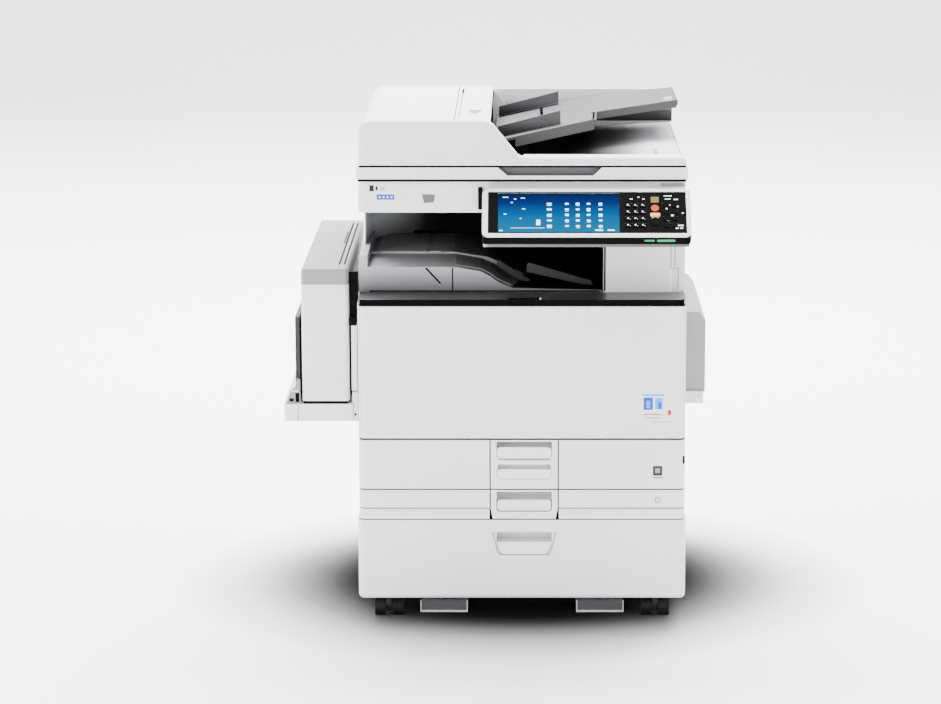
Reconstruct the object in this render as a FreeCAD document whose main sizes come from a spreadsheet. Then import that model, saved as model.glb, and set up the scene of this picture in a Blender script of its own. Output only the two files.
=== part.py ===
"""Office photocopier with a document feeder, three paper trays and a side feed unit.

Every sub-part is built in the machine's own coordinates: X to the viewer's right from the middle
of the main body, Y from the front panels to the rear, Z up from the floor. The two cells mid_x and
front_y then carry each sub-part to the part's frame, whose origin is the middle of the footprint.
"""
import FreeCAD, Part
import Sketcher
import math
import os

Vector = FreeCAD.Vector
document = FreeCAD.newDocument("photocopier")
sheet = document.addObject("Spreadsheet::Sheet", "Dims")


class Length:
    """A size that knows its value and the spreadsheet expression that gives it."""

    def __init__(self, value, text):
        self.value = float(value)
        self.text = text

    def _join(self, other, sign, value):
        return Length(value, "(%s %s %s)" % (self.text, sign, text_of(other)))

    def __add__(self, other):
        return self._join(other, "+", self.value + value_of(other))

    def __sub__(self, other):
        return self._join(other, "-", self.value - value_of(other))

    def __mul__(self, other):
        return self._join(other, "*", self.value * value_of(other))

    def __truediv__(self, other):
        return self._join(other, "/", self.value / value_of(other))

    def __radd__(self, other):
        return self + other

    def __rsub__(self, other):
        return -self + other

    def __neg__(self):
        return Length(-self.value, "(0 - %s)" % self.text)


def value_of(size):
    return size.value if isinstance(size, Length) else float(size)


def text_of(size):
    return size.text if isinstance(size, Length) else repr(float(size))


class Sizes:
    """The driving dimensions, one attribute for each cell of the sheet."""


DRIVING = [
    ("mid_x", 49.0, "from the footprint's middle to the body's middle"),
    ("front_y", -254.3, "from the footprint's middle to the front panels"),
    ("body_wide", 592.0, "main body, side to side"),
    ("body_deep", 600.0, "main body, front to rear"),
    ("seam", 2.0, "gap between neighbouring panels"),
    ("skin", 3.0, "wall of a moulded cover"),
    ("plate", 2.0, "sheet steel of the frame"),
    ("corner", 11.0, "round of the vertical front corners"),
    ("edge", 1.5, "small round of a moulding's edges"),
    ("base_low", 54.0, "underside of the cabinet"),
    ("tray_3_top", 203.0, "top of the lowest tray front"),
    ("tray_2_top", 259.0, "top of the middle tray front"),
    ("tray_1_top", 352.0, "top of the upper tray front"),
    ("door_top", 598.0, "top of the front cover"),
    ("deck", 610.0, "top of the ledge, and floor of the output bay"),
    ("bay_top", 768.0, "underside of the scanner"),
    ("scan_top", 824.0, "top of the scanner and its glass"),
    ("feed_low", 826.0, "underside of the document feeder"),
    ("feed_seam", 849.0, "top of the feeder's base layer"),
    ("rim", 868.0, "rim of the feeder's exit tray"),
    ("feed_top", 933.0, "top of the feeder's hump"),
    ("feed_deep", 523.0, "rear of the feeder"),
    ("hump_right", -58.0, "right side of the feeder's hump"),
    ("panel_thick", 20.0, "depth of a tray front"),
    ("door_thick", 22.0, "depth of the front cover"),
    ("grip_x", 4.0, "middle of the finger recesses"),
    ("grip_half", 50.0, "half width of a finger recess"),
    ("grip_deep", 34.0, "depth of a finger recess"),
    ("box_half", 262.0, "half width of a paper tray"),
    ("box_front", 46.0, "front of a paper tray"),
    ("box_rear", 560.0, "rear of a paper tray"),
    ("ledge_deep", 75.0, "depth of the ledge in front of the bay"),
    ("bay_rear", 430.0, "back wall of the output bay"),
    ("exit_left", 147.0, "left side of the exit unit"),
    ("caster_x", 246.0, "caster swivels, from the body's middle"),
    ("caster_front", 70.0, "front caster swivels"),
    ("caster_rear", 530.0, "rear caster swivels"),
    ("wheel_round", 19.0, "radius of a caster wheel"),
    ("wheel_out", 26.0, "outer face of a caster wheel, from the swivel's middle"),
    ("bank_out", 2.0, "how far the lowest tray stands out at each side"),
    ("trail", 12.0, "axle behind the swivel"),
    ("pin_round", 3.0, "radius of a hinge pin"),
    ("pin_play", 0.3, "play round a pin or shaft"),
    ("bottle_round", 27.0, "radius of a toner bottle"),
    ("side_left", -400.0, "left face of the side unit"),
    ("side_right", -314.0, "right face of the side unit"),
    ("side_front", 60.0, "front of the side unit"),
    ("side_low", 411.0, "underside of the side unit's housing"),
    ("side_top", 656.0, "top of the side unit"),
    ("shelf_left", -434.0, "left end of the side unit's base"),
    ("shelf_low", 373.0, "underside of the side unit's base"),
    ("shelf_top", 405.0, "top of the side unit's base"),
    ("flap_x", -417.0, "hinge of the bypass tray, across"),
    ("flap_z", 413.0, "hinge of the bypass tray, up"),
    ("bulge_right", 336.0, "outer face of the right door"),
    ("bulge_low", 405.0, "bottom of the right door"),
    ("bulge_top", 567.0, "top of the right door"),
    ("bulge_front", 110.0, "front of the right door"),
    ("bulge_rear", 500.0, "rear of the right door"),
    ("face_y", -100.0, "lower edge of the control panel's face, front to rear"),
    ("face_z", 740.0, "lower edge of the control panel's face, up"),
    ("face_slope", 42.0, "slope of the control panel's face in degrees"),
    ("face_tall", 108.0, "control panel's face, lower edge to upper edge"),
    ("face_left", -70.0, "left end of the control panel"),
    ("face_right", 297.0, "right end of the control panel"),
    ("screen_left", -43.0, "left edge of the touch screen"),
    ("screen_right", 172.0, "right edge of the touch screen"),
    ("key_travel", 1.2, "height of a key over the face"),
]


def fill_sheet():
    """Writes one row for each driving dimension and returns them all as sizes."""
    sizes = Sizes()
    for row, (name, value, note) in enumerate(DRIVING, start=1):
        sheet.set("A%d" % row, name)
        sheet.set("B%d" % row, repr(value))
        sheet.set("C%d" % row, note)
        sheet.setAlias("B%d" % row, name)
        setattr(sizes, name, Length(value, "Dims." + name))
    document.recompute()
    return sizes


s = fill_sheet()
half = s.body_wide / 2
sub_parts = []


# ---- building blocks ---------------------------------------------------------------------------

def bind(thing, name, size):
    """Ties a property to the spreadsheet, or sets it where the size is a plain number."""
    thing.setExpression(name, text_of(size))


def place(thing, y=0.0, z=0.0):
    """Carries a finished sub-part from the machine's coordinates to the part's frame."""
    bind(thing, "Placement.Base.x", s.mid_x)
    bind(thing, "Placement.Base.y", s.front_y + y)
    bind(thing, "Placement.Base.z", z)


def keep(thing, label):
    """Names a finished sub-part and puts it on the list of what is written."""
    thing.Label = label
    place(thing)
    sub_parts.append(thing)
    return thing


def block(x0, x1, y0, y1, z0, z1):
    """A box between two corners."""
    box = document.addObject("Part::Box", "Block")
    for side, low, high in (("Length", x0, x1), ("Width", y0, y1), ("Height", z0, z1)):
        bind(box, side, Length(value_of(high) - value_of(low), "(%s - %s)" % (text_of(high), text_of(low))))
    for axis, low in zip("xyz", (x0, y0, z0)):
        bind(box, "Placement.Base." + axis, low)
    return box


TURNS = {
    "X": FreeCAD.Rotation(Vector(0, 1, 0), 90),
    "Y": FreeCAD.Rotation(Vector(1, 0, 0), -90),
    "Z": FreeCAD.Rotation(),
}


def rod(axis, x, y, z, radius, long):
    """A cylinder that starts at a point and runs along +X, +Y or +Z."""
    cylinder = document.addObject("Part::Cylinder", "Rod")
    bind(cylinder, "Radius", radius)
    bind(cylinder, "Height", long)
    cylinder.Placement.Rotation = TURNS[axis]
    for name, low in zip("xyz", (x, y, z)):
        bind(cylinder, "Placement.Base." + name, low)
    return cylinder


def joined(*things):
    """The union of several shapes."""
    union = document.addObject("Part::MultiFuse", "Union")
    union.Shapes = list(things)
    return union


def cut(base, *tools):
    """A shape less one or more others."""
    difference = document.addObject("Part::Cut", "Difference")
    difference.Base = base
    difference.Tool = tools[0] if len(tools) == 1 else joined(*tools)
    return difference


def together(*things):
    """Separate solids that make one sub-part."""
    compound = document.addObject("Part::Compound", "Group")
    compound.Links = list(things)
    return compound


def sketch_on(body, plane, level, outlines):
    """A fully constrained sketch of polygons and circles on one of the body's own planes.

    XY looks along +Z, XZ along -Y and YZ along +X, and level is the place on that axis.
    An outline is a list of points, or a tuple of a circle's centre and radius.
    """
    sketch = body.newObject("Sketcher::SketchObject", "Sketch")
    origin = [f for f in body.Origin.OriginFeatures if f.Role == plane + "_Plane"][0]
    sketch.AttachmentSupport = [(origin, "")]
    sketch.MapMode = "FlatFace"
    lift = Length(-value_of(level), "(0 - %s)" % text_of(level)) if plane == "XZ" else level
    bind(sketch, "AttachmentOffset.Base.z", lift)

    def tie(kind, element, point, size):
        index = sketch.addConstraint(Sketcher.Constraint(kind, -1, 1, element, point, value_of(size)))
        bind(sketch, "Constraints[%d]" % index, size)

    for outline in outlines:
        first = sketch.GeometryCount
        if isinstance(outline, tuple):
            u, v, radius = outline
            centre = Vector(value_of(u), value_of(v), 0)
            sketch.addGeometry(Part.Circle(centre, Vector(0, 0, 1), value_of(radius)), False)
            tie("DistanceX", first, 3, u)
            tie("DistanceY", first, 3, v)
            index = sketch.addConstraint(Sketcher.Constraint("Radius", first, value_of(radius)))
            bind(sketch, "Constraints[%d]" % index, radius)
            continue
        corners = [Vector(value_of(u), value_of(v), 0) for u, v in outline]
        count = len(corners)
        for i in range(count):
            sketch.addGeometry(Part.LineSegment(corners[i], corners[(i + 1) % count]), False)
        for i in range(count):
            sketch.addConstraint(Sketcher.Constraint("Coincident", first + i, 2, first + (i + 1) % count, 1))
        for i, (u, v) in enumerate(outline):
            tie("DistanceX", first + i, 1, u)
            tie("DistanceY", first + i, 1, v)
    return sketch


def rect(u0, u1, v0, v1):
    return [(u0, v0), (u1, v0), (u1, v1), (u0, v1)]


def span(low, high):
    return Length(value_of(high) - value_of(low), "(%s - %s)" % (text_of(high), text_of(low)))


def add(body, plane, low, high, *outlines):
    """Adds material between two levels."""
    pad = body.newObject("PartDesign::Pad", "Pad")
    pad.Profile = sketch_on(body, plane, high if plane == "XZ" else low, outlines)
    bind(pad, "Length", span(low, high))
    document.recompute()
    return body


def remove(body, plane, low, high, *outlines):
    """Cuts material away between two levels, and stops the script if nothing was cut."""
    before = body.Shape.Volume
    pocket = body.newObject("PartDesign::Pocket", "Pocket")
    pocket.Profile = sketch_on(body, plane, low if plane == "XZ" else high, outlines)
    bind(pocket, "Length", span(low, high))
    document.recompute()
    if body.Shape.Volume > before - 0.5:
        raise RuntimeError("a pocket of %s cuts nothing" % body.Label)
    return body


def raw_body(plane, low, high, *outlines):
    """A new body that starts with one pad and isn't a sub-part of its own."""
    return add(document.addObject("PartDesign::Body", "Body"), plane, low, high, *outlines)


def moulding(label, plane, low, high, *outlines):
    """A sub-part whose body starts with one pad."""
    return keep(raw_body(plane, low, high, *outlines), label)


def soften(body, radius, chosen):
    """Rounds the edges that chosen picks by their start, end and middle."""
    tip = body.Tip
    names = []
    for number, side in enumerate(tip.Shape.Edges, start=1):
        ends = [v.Point for v in side.Vertexes]
        middle = side.valueAt((side.FirstParameter + side.LastParameter) / 2)
        if len(ends) == 2 and chosen(ends[0], ends[1], middle):
            names.append("Edge%d" % number)
    fillet = body.newObject("PartDesign::Fillet", "Fillet")
    fillet.Base = (tip, names)
    bind(fillet, "Radius", radius)
    document.recompute()
    if not names or "Invalid" in fillet.State or not fillet.Shape.isValid():
        raise RuntimeError("a round of %s failed on %d edges" % (body.Label, len(names)))
    return body


def near(a, b):
    return abs(a - value_of(b)) < 0.01


def on_plane(axis, level):
    """Picks edges that lie wholly in the plane where an axis has one value."""
    return lambda a, b, m: all(near(getattr(p, axis), level) for p in (a, b, m))


def along(axis, **at):
    """Picks straight edges that run along an axis, at the given places on the others."""
    others = [name for name in "xyz" if name != axis]

    def chosen(a, b, m):
        if any(abs(getattr(a, n) - getattr(b, n)) > 0.01 for n in others):
            return False
        return all(any(near(getattr(m, n), level) for level in levels) for n, levels in at.items())

    return chosen


# ---- undercarriage and frame -------------------------------------------------------------------

def base_frame():
    """Steel base plate with a boss for each caster's stem."""
    low = s.base_low + 2
    top = s.base_low + 8
    body = moulding("base_frame", "XY", low, top, rect(-(half - 9), half - 9, 24, s.body_deep - 10))
    spots = [(side * 1.0, depth) for side in (-1, 1) for depth in (s.caster_front, s.caster_rear)]
    bosses = [(s.caster_x * side, depth, 14) for side, depth in spots]
    bores = [(s.caster_x * side, depth, s.pin_round * 2 + s.pin_play) for side, depth in spots]
    add(body, "XY", top, top + 6, *bosses)
    remove(body, "XY", low, top + 4, *bores)


def caster(corner, side, depth):
    """Swivelling hub and its twin wheels on one axle."""
    x = s.caster_x * side
    axle_y = depth + s.trail
    hub = moulding("caster_hub_" + corner, "XY", 41, 47, (x, depth, 19))
    add(hub, "XY", 47, s.base_low + 10, (x, depth, s.pin_round * 2))
    arm = [
        (depth - 9, 41.5), (depth - 6, 24), (axle_y - 9, 10),
        (axle_y + 9, 10), (axle_y + 11, 22), (depth + 14, 41.5),
    ]
    add(hub, "YZ", x - 5, x + 5, arm)
    remove(hub, "YZ", x - 5, x + 5, (axle_y, s.wheel_round, s.pin_round + s.pin_play))
    out = s.wheel_out
    wheels = moulding("caster_wheels_" + corner, "YZ", x - out, x + out, (axle_y, s.wheel_round, s.pin_round))
    for low, high in ((x - out, x - 6), (x + 6, x + out)):
        add(wheels, "YZ", low, high, (axle_y, s.wheel_round, s.wheel_round))


def stabiliser_feet():
    """Two steel feet that stop the cabinet tipping when a tray is out."""
    feet = []
    for middle in (-145, 145):
        sole = block(middle - 44, middle + 44, 95, 175, 0, 3)
        lip = block(middle - 44, middle + 44, 95, 98, 0, 24)
        post = rod("Z", middle, 140, 2, 8, s.base_low)
        feet.append(joined(sole, lip, post))
    keep(together(*feet), "stabiliser_feet")


def inner_frame():
    """Sheet-steel plates, shelves and tray rails that carry everything else."""
    inside = half - 7.5
    outside = half - 5.5
    rear = s.body_deep - 25
    top = s.deck - 3
    floor = s.base_low + 8
    under_ledge = block(-half, half, 29, s.ledge_deep + 1, s.door_top, top + 1)
    left = cut(block(-outside, -inside, 30, rear, floor, top), under_ledge)
    sill, head = s.bulge_low + 20, s.bulge_top - 20
    right = [
        block(inside, outside, 30, rear, floor, sill),
        block(inside, outside, 30, 135, sill, head),
        block(inside, outside, 475, rear, sill, head),
        cut(block(inside, outside, 30, rear, head, top), under_ledge),
    ]
    back = block(-outside, outside, rear, rear + s.plate, floor, top)
    roof = block(-outside, outside, s.ledge_deep + 1, rear + s.plate, top, s.deck)
    shelves = [
        block(-inside, inside, s.box_front, rear, level, level + s.plate)
        for level in (s.tray_3_top, s.tray_2_top - 1, s.tray_1_top - 3)
    ]
    rails = []
    for level in (s.tray_3_top - 25, s.tray_2_top - 14.5, s.tray_1_top - 17):
        rails.append(block(-inside, -(s.box_half + 3), 60, s.box_rear, level - 3, level - 0.5))
        rails.append(block(s.box_half + 3, inside, 60, s.box_rear, level - 3, level - 0.5))
    keep(together(left, back, roof, *(right + shelves + rails)), "inner_frame")


# ---- outer covers ------------------------------------------------------------------------------

def side_covers():
    """Left and right covers. The right one has a window behind the door."""
    low = s.base_low + 1
    front = s.door_thick + s.seam
    step = s.ledge_deep + 1
    under = s.door_top + s.seam
    outline = [
        (front, low), (s.body_deep, low), (s.body_deep, s.deck),
        (step, s.deck), (step, under), (front, under),
    ]
    left = moulding("left_cover", "YZ", -half, -(half - s.skin), outline)
    right = moulding("right_cover", "YZ", half - s.skin, half, outline)
    bank = rect(front, s.body_deep, low, s.tray_3_top)
    add(left, "YZ", -(half + s.bank_out), -(half - 1), bank)
    add(right, "YZ", half - 1, half + s.bank_out, bank)
    shelf = rect(s.bulge_front - 6, s.bulge_rear + 6, s.bulge_low - 8, s.bulge_low - 2)
    add(right, "YZ", half, s.bulge_right - 3, shelf)
    for near_end in (s.bulge_front - 6, s.bulge_rear + 0.5):
        lug = rect(near_end, near_end + 5.5, s.bulge_low - 2, s.bulge_low + 14)
        add(right, "YZ", half, s.bulge_right - 3, lug)
    window = rect(s.bulge_front + 20, s.bulge_rear - 20, s.bulge_low + 20, s.bulge_top - 20)
    remove(right, "YZ", half - s.skin, half, window)
    pin_bore = (s.bulge_right - 12, s.bulge_low + 7, 1.5 + s.pin_play)
    remove(right, "XZ", s.bulge_front - 7, s.bulge_rear + 7, pin_bore)


def rear_cover():
    """Rear cover with a cut-out for the mains inlet and rows of cooling slots."""
    wide = half - s.skin
    rear = s.body_deep
    body = moulding("rear_cover", "XZ", rear - s.skin, rear, rect(-wide, wide, s.base_low + 1, s.bay_top - 1))
    remove(body, "XZ", rear - s.skin, rear, rect(-252, -218, 78, 106))
    slots = [
        rect(x, x + 60, z, z + 5)
        for x in (-240, 150)
        for z in (430, 442, 454, 466, 478, 490)
    ]
    remove(body, "XZ", rear - s.skin, rear, *slots)


def power_inlet():
    """Mains inlet socket with three blades."""
    rear = s.body_deep
    body = moulding("power_inlet", "XZ", rear - 20, rear + 1, rect(-251, -219, 79, 105))
    remove(body, "XZ", rear - 15, rear + 1, rect(-247, -223, 83, 101))
    blades = [rect(x - 1, x + 1, z - 2, z + 2) for x, z in ((-241, 89), (-229, 89), (-235, 96))]
    add(body, "XZ", rear - 16, rear - 3, *blades)


def front_cover():
    """Fold-down front cover on two pins near its lower edge."""
    low = s.tray_1_top + 2.5
    wide = half - 1.5
    body = moulding("front_cover", "XZ", 0, s.door_thick, rect(-wide, wide, low, s.door_top))
    soften(body, s.corner, along("z", y=[0]))
    soften(body, s.edge * 2, along("x", y=[0], z=[low.value, s.door_top.value]))
    remove(body, "XZ", s.skin, s.door_thick, rect(-(wide - 3), wide - 3, low + 3, s.door_top - 3))
    for inner, outer in ((-(wide - 2), -262), (262, wide - 2)):
        add(body, "YZ", inner, outer, (8, low + 8.5, s.pin_round))


def inner_panel():
    """Panel behind the front cover, with the toner ports and the cover's hinge straps."""
    low = s.tray_1_top + 4
    wide = half - 8
    pivot = s.tray_1_top + 11
    body = moulding("inner_panel", "XZ", 27, 30, rect(-wide, wide, low, s.door_top - 3))
    ports = [(x, BOTTLE_Z, s.bottle_round + 3) for x in BOTTLES_X]
    remove(body, "XZ", 27, 30, *ports)
    strap = [(5, pivot), (11, pivot), (11, pivot + 18), (27, pivot + 18), (27, pivot + 28), (5, pivot + 28)]
    for inner, outer in ((-276, -268), (268, 276)):
        add(body, "YZ", inner, outer, strap)
        add(body, "YZ", inner, outer, (8, pivot, s.pin_round + 1.5))
    remove(body, "YZ", -276, 276, (8, pivot, s.pin_round + s.pin_play))


BOTTLES_X = (-210, -136, -62, 12)
BOTTLE_Z = 541
BOTTLE_COLOURS = ("black", "cyan", "magenta", "yellow")


def toner_bottles():
    """Four ribbed bottles that turn about their own length."""
    for x, colour in zip(BOTTLES_X, BOTTLE_COLOURS):
        body = moulding("toner_bottle_" + colour, "XZ", 24, 34, (x, BOTTLE_Z, s.bottle_round - 6))
        add(body, "XZ", 34, 46, (x, BOTTLE_Z, s.bottle_round))
        for start in range(46, 370, 54):
            add(body, "XZ", start, start + 6, (x, BOTTLE_Z, s.bottle_round - 3))
            add(body, "XZ", start + 6, start + 54, (x, BOTTLE_Z, s.bottle_round))


# ---- paper trays -------------------------------------------------------------------------------

def tray_front(number, low, top):
    """White front of a tray, with a block behind it that holds the finger recess."""
    wide = half + s.bank_out if number == 3 else half - 1.5
    middle = s.grip_x
    grip = s.grip_half
    outline = rect(-wide, wide, low, top)
    if number == 2:
        shoulder = low + 21
        outline = [
            (middle - 61, shoulder), (middle - 57, low), (middle + 57, low), (middle + 61, shoulder),
            (wide, shoulder), (wide, top), (-wide, top), (-wide, shoulder),
        ]
    recess_low = {1: top - 31, 2: top - 38, 3: top - 42}[number]
    recess_top = {1: top - 3, 2: top - 3, 3: top - 23}[number]
    body = moulding("tray_%d_front" % number, "XZ", 0, s.panel_thick, outline)
    soften(body, s.corner, along("z", y=[0]))
    if number == 3:
        soften(body, s.corner * 0.8, along("y", x=[-wide.value, wide.value], z=[low.value]))
    soften(body, s.edge, along("x", y=[0], z=[low.value, top.value]))
    shell = rect(middle - grip - 4, middle + grip + 4, recess_low - 2.5, recess_top + 2.5)
    add(body, "XZ", s.panel_thick - 1, s.grip_deep + 4, shell)
    if number == 1:
        second = rect(middle - grip + 2, middle + grip - 2, recess_low - 39, recess_low - 14)
        remove(body, "XZ", 0, s.panel_thick - 5, second)
    if number == 3:
        dish = [
            (middle - 46, top - 66), (middle + 46, top - 66),
            (middle + 58, recess_top), (middle - 58, recess_top),
        ]
        remove(body, "XZ", 0, 4, dish)
    remove(body, "XZ", 0, s.grip_deep, rect(middle - grip, middle + grip, recess_low, recess_top))


def tray_box(number, low, top, rail):
    """Open paper tray with side flanges that run on the rails."""
    wide = s.box_half
    front, rear, wall = s.box_front, s.box_rear, s.skin
    body = moulding("tray_%d_box" % number, "XY", low, top, rect(-wide, wide, front, rear))
    inside = rect(-(wide - 3), wide - 3, front + wall, rear - wall)
    remove(body, "XY", low + wall, top, inside)
    flanges = [rect(-(wide + 8), -(wide - 1), front, rear), rect(wide - 1, wide + 8, front, rear)]
    add(body, "XY", rail, rail + 2.5, *flanges)
    add(body, "XZ", s.panel_thick, front + 1, rect(-200, -150, low, top - 4), rect(150, 200, low, top - 4))
    remove(body, "XZ", front, rear, (-150, low + 6.5, 2.3))


def lift_plate(number, low):
    """Steel plate under the paper, hinged on a rod across the tray."""
    hinge = low + 6.5
    sheet_metal = block(-151, 240, 62, 544, hinge - 0.8, hinge + 0.8)
    pivot = rod("Y", -150, 48, hinge, 2, 510)
    keep(joined(sheet_metal, pivot), "tray_%d_lift_plate" % number)


def trays():
    """Three trays, top to bottom: front, box and lift plate."""
    plan = (
        (1, s.tray_2_top + 2, s.tray_1_top, s.tray_1_top - 17),
        (2, s.tray_3_top + 2, s.tray_2_top, s.tray_2_top - 14.5),
        (3, s.base_low, s.tray_3_top, s.tray_3_top - 25),
    )
    for number, low, top, rail in plan:
        tray_front(number, low, top)
        floor = {1: low + 3.5, 2: low + 22.5, 3: low + 17}[number]
        tray_box(number, floor, top - 5.5, rail)
        lift_plate(number, floor)


def base_trim():
    """Fixed strips either side of the middle tray's handle block."""
    low = s.tray_3_top + 2
    wide = half - 1.5
    strips = []
    for inner, outer in ((s.grip_x - 63, -wide), (s.grip_x + 63, wide)):
        ends = (outer, inner) if outer.value < 0 else (inner, outer)
        strip = raw_body("XZ", 0, s.panel_thick, rect(*ends, low, low + 19))
        strips.append(soften(strip, s.corner, along("z", y=[0], x=[outer.value])))
    keep(together(*strips), "base_trim")


def front_ledge():
    """Dark ledge over the front cover."""
    wide = half - 1.5
    low = s.door_top + s.seam
    body = moulding("front_ledge", "XY", low, s.deck, rect(-wide, wide, 0, s.ledge_deep))
    soften(body, s.corner * 2, along("z", y=[0]))
    soften(body, s.edge, on_plane("z", s.deck))
    remove(body, "XY", low, s.deck, rect(-22, 22, 0, 3))


# ---- inside the cabinet ------------------------------------------------------------------------

def print_units():
    """Laser unit, drums, transfer belt and fuser, each standing on the one below."""
    left, right = -240, 42
    front, rear = 60, 350
    floor = s.tray_1_top - 1
    legs = [block(x, x + 12, front, rear, floor, floor + 45) for x in (left, right - 12)]
    laser = block(left, right, front, rear, floor + 45, floor + 78)
    keep(joined(laser, *legs), "laser_unit")
    belt = block(left + 10, right - 10, front, rear, floor + 82, floor + 96)
    ends = [rod("Y", x, front, floor + 89, 9, rear - front) for x in (left + 10, right - 10)]
    posts = [
        block(x, x + 10, front + 10, front + 20, floor + 78, floor + 86)
        for x in (left + 20, right - 30)
    ]
    keep(joined(belt, *(ends + posts)), "transfer_unit")
    drums = []
    for x in BOTTLES_X:
        drum = rod("Y", x, front, floor + 113, 16, rear - front)
        case = block(x - 24, x + 24, front, rear, floor + 116, floor + 152)
        drums.append(joined(drum, case))
    keep(together(*drums), "imaging_units")
    case = cut(block(150, 250, front, rear, floor, 540), block(156, 244, front - 1, rear + 1, floor + 6, 534))
    rollers = [rod("Y", x, front, 470, 20, rear - front) for x in (178, 219)]
    stays = [block(156, 244, y, y + 4, 460, 480) for y in (front, rear - 4)]
    keep(joined(case, *(rollers + stays)), "fuser_unit")


def control_board():
    """Circuit board on stand-offs, with its larger components."""
    back = s.body_deep - 25
    board = block(-150, 150, back - 9, back - 7, 366, 576)
    spacers = [rod("Y", x, back - 7, z, 4, 7) for x in (-140, 140) for z in (376, 566)]
    chips = [
        block(x, x + 32, back - 14, back - 9, z, z + 32)
        for x, z in ((-110, 496), (-40, 486), (60, 516))
    ]
    cans = [rod("Y", x, back - 34, 406, 10, 25) for x in (-100, -70, -40)]
    keep(joined(board, *(spacers + chips + cans)), "control_board")


# ---- output bay --------------------------------------------------------------------------------

def output_tray():
    """Stepped tray that catches the prints, with a low fence at its left."""
    front = s.ledge_deep + 0.5
    step = 216
    right = s.exit_left - 2
    low = s.deck
    floor = [(right, low), (right, low + 4)]
    front_curve = [(-20, low + 8), (-44, low + 19), (-59, low + 30), (-75, low + 38), (-121, low + 46)]
    rear_curve = [(10, low + 5), (-47, low + 33), (-63, low + 40), (-127, low + 50)]
    tray = moulding("output_tray", "XZ", front, step, [(-280, low), *floor, *front_curve, (-280, low + 46)])
    add(tray, "XZ", step, s.bay_rear, [(-280, low), *floor, *rear_curve, (-280, low + 50)])
    add(tray, "XZ", front, s.bay_rear, rect(-half, -280, low, low + 67))
    soften(tray, 6, along("y", x=[-half.value], z=[s.deck.value + 67]))
    under_front = [
        (-277, low), (-40, low), (-62, low + 23), (-78, low + 32), (-123, low + 41), (-277, low + 41),
    ]
    under_rear = [
        (-277, low), (-10, low), (-50, low + 26), (-66, low + 34), (-128, low + 45), (-277, low + 45),
    ]
    remove(tray, "XZ", front + 3, step, under_front)
    remove(tray, "XZ", step, s.bay_rear - 3, under_rear)


def exit_unit_cover():
    """White exit unit at the right, and the tower behind the bay, as one shell."""
    low = s.deck
    top = s.bay_top
    rear = s.body_deep - s.skin
    front = s.ledge_deep + 0.5
    skin = s.skin
    body = moulding("exit_unit_cover", "XY", low, top, [
        (s.exit_left, front), (272, front), (272, front + 16), (half, front + 16),
        (half, rear), (-half, rear), (-half, s.bay_rear), (s.exit_left, s.bay_rear),
    ])
    remove(body, "XY", low, top - skin, [
        (s.exit_left + skin, front + skin), (272 - skin, front + skin), (272 - skin, front + 16 + skin),
        (half - skin, front + 16 + skin), (half - skin, rear - skin), (-(half - skin), rear - skin),
        (-(half - skin), s.bay_rear + skin), (s.exit_left + skin, s.bay_rear + skin),
    ])
    remove(body, "YZ", s.exit_left, s.exit_left + skin, rect(120, 400, low + 80, low + 100))
    soften(body, 5, along("z", x=[s.exit_left.value], y=[front.value]))
    soften(body, 5, along("z", x=[272], y=[front.value]))


# ---- scanner -----------------------------------------------------------------------------------

PANEL_HINGE = (-12.0, s.bay_top.value + 8)
FEED_HINGE = (562.0, s.scan_top.value + 12)


def scanner():
    """Scanner box with its glass, guide rods, panel lugs and feeder hinge brackets."""
    low, top = s.bay_top, s.scan_top
    left, right = -(half - 4.5), half - 4.5
    rear = s.body_deep - 2
    body = moulding("scanner_housing", "XY", low, top, rect(left, right, 0, rear))
    soften(body, s.corner * 0.8, along("z", y=[0]))
    remove(body, "XY", low + 3, top - 6, rect(left + 3, right - 3, 3, rear - 3))
    remove(body, "XY", top - 6, top - 3, rect(-216, 216, 96, 404))
    remove(body, "XY", top - 3, top, rect(-222, 222, 90, 410))
    for y in (60, 480):
        add(body, "YZ", left + 2, right - 2, (y, low + 16, 4))
    hinge_y, hinge_z = PANEL_HINGE
    lug = [
        (1, hinge_z - 6), (hinge_y, hinge_z - 6), (hinge_y - 6, hinge_z),
        (hinge_y, hinge_z + 6), (1, hinge_z + 12),
    ]
    for inner in (-42, 257):
        add(body, "YZ", inner, inner + 10, lug)
    remove(body, "YZ", -42, 267, (hinge_y, hinge_z, 2.5 + s.pin_play))
    feed_y, feed_z = FEED_HINGE
    for inner in (-232, 200):
        add(body, "YZ", inner, inner + 32, rect(feed_y - 12, feed_y + 12, top - 1, feed_z + 10))
    remove(body, "YZ", -232, 232, (feed_y, feed_z, s.pin_round + s.pin_play))
    moulding("platen_glass", "XY", top - 3, top, rect(-222, 222, 90, 410))


def scanner_carriage():
    """Lamp and mirror carriage that rides on the two guide rods."""
    low = s.bay_top
    body = moulding("scanner_carriage", "YZ", -262, -212, rect(45, 495, low + 22, low + 44))
    for y in (60, 480):
        add(body, "YZ", -262, -212, rect(y - 11, y + 11, low + 6, low + 24))
        remove(body, "YZ", -262, -212, (y, low + 16, 4 + s.pin_play))
    remove(body, "XY", low + 38, low + 44, rect(-250, -224, 80, 460))


# ---- document feeder ---------------------------------------------------------------------------

LID_HINGE = (-279.0, s.rim.value + 14)
TRAY_HINGE = (4.0, s.rim.value + 18)
TRAY_RISE = 0.22
TRAY_KNEE = 130.0


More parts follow.
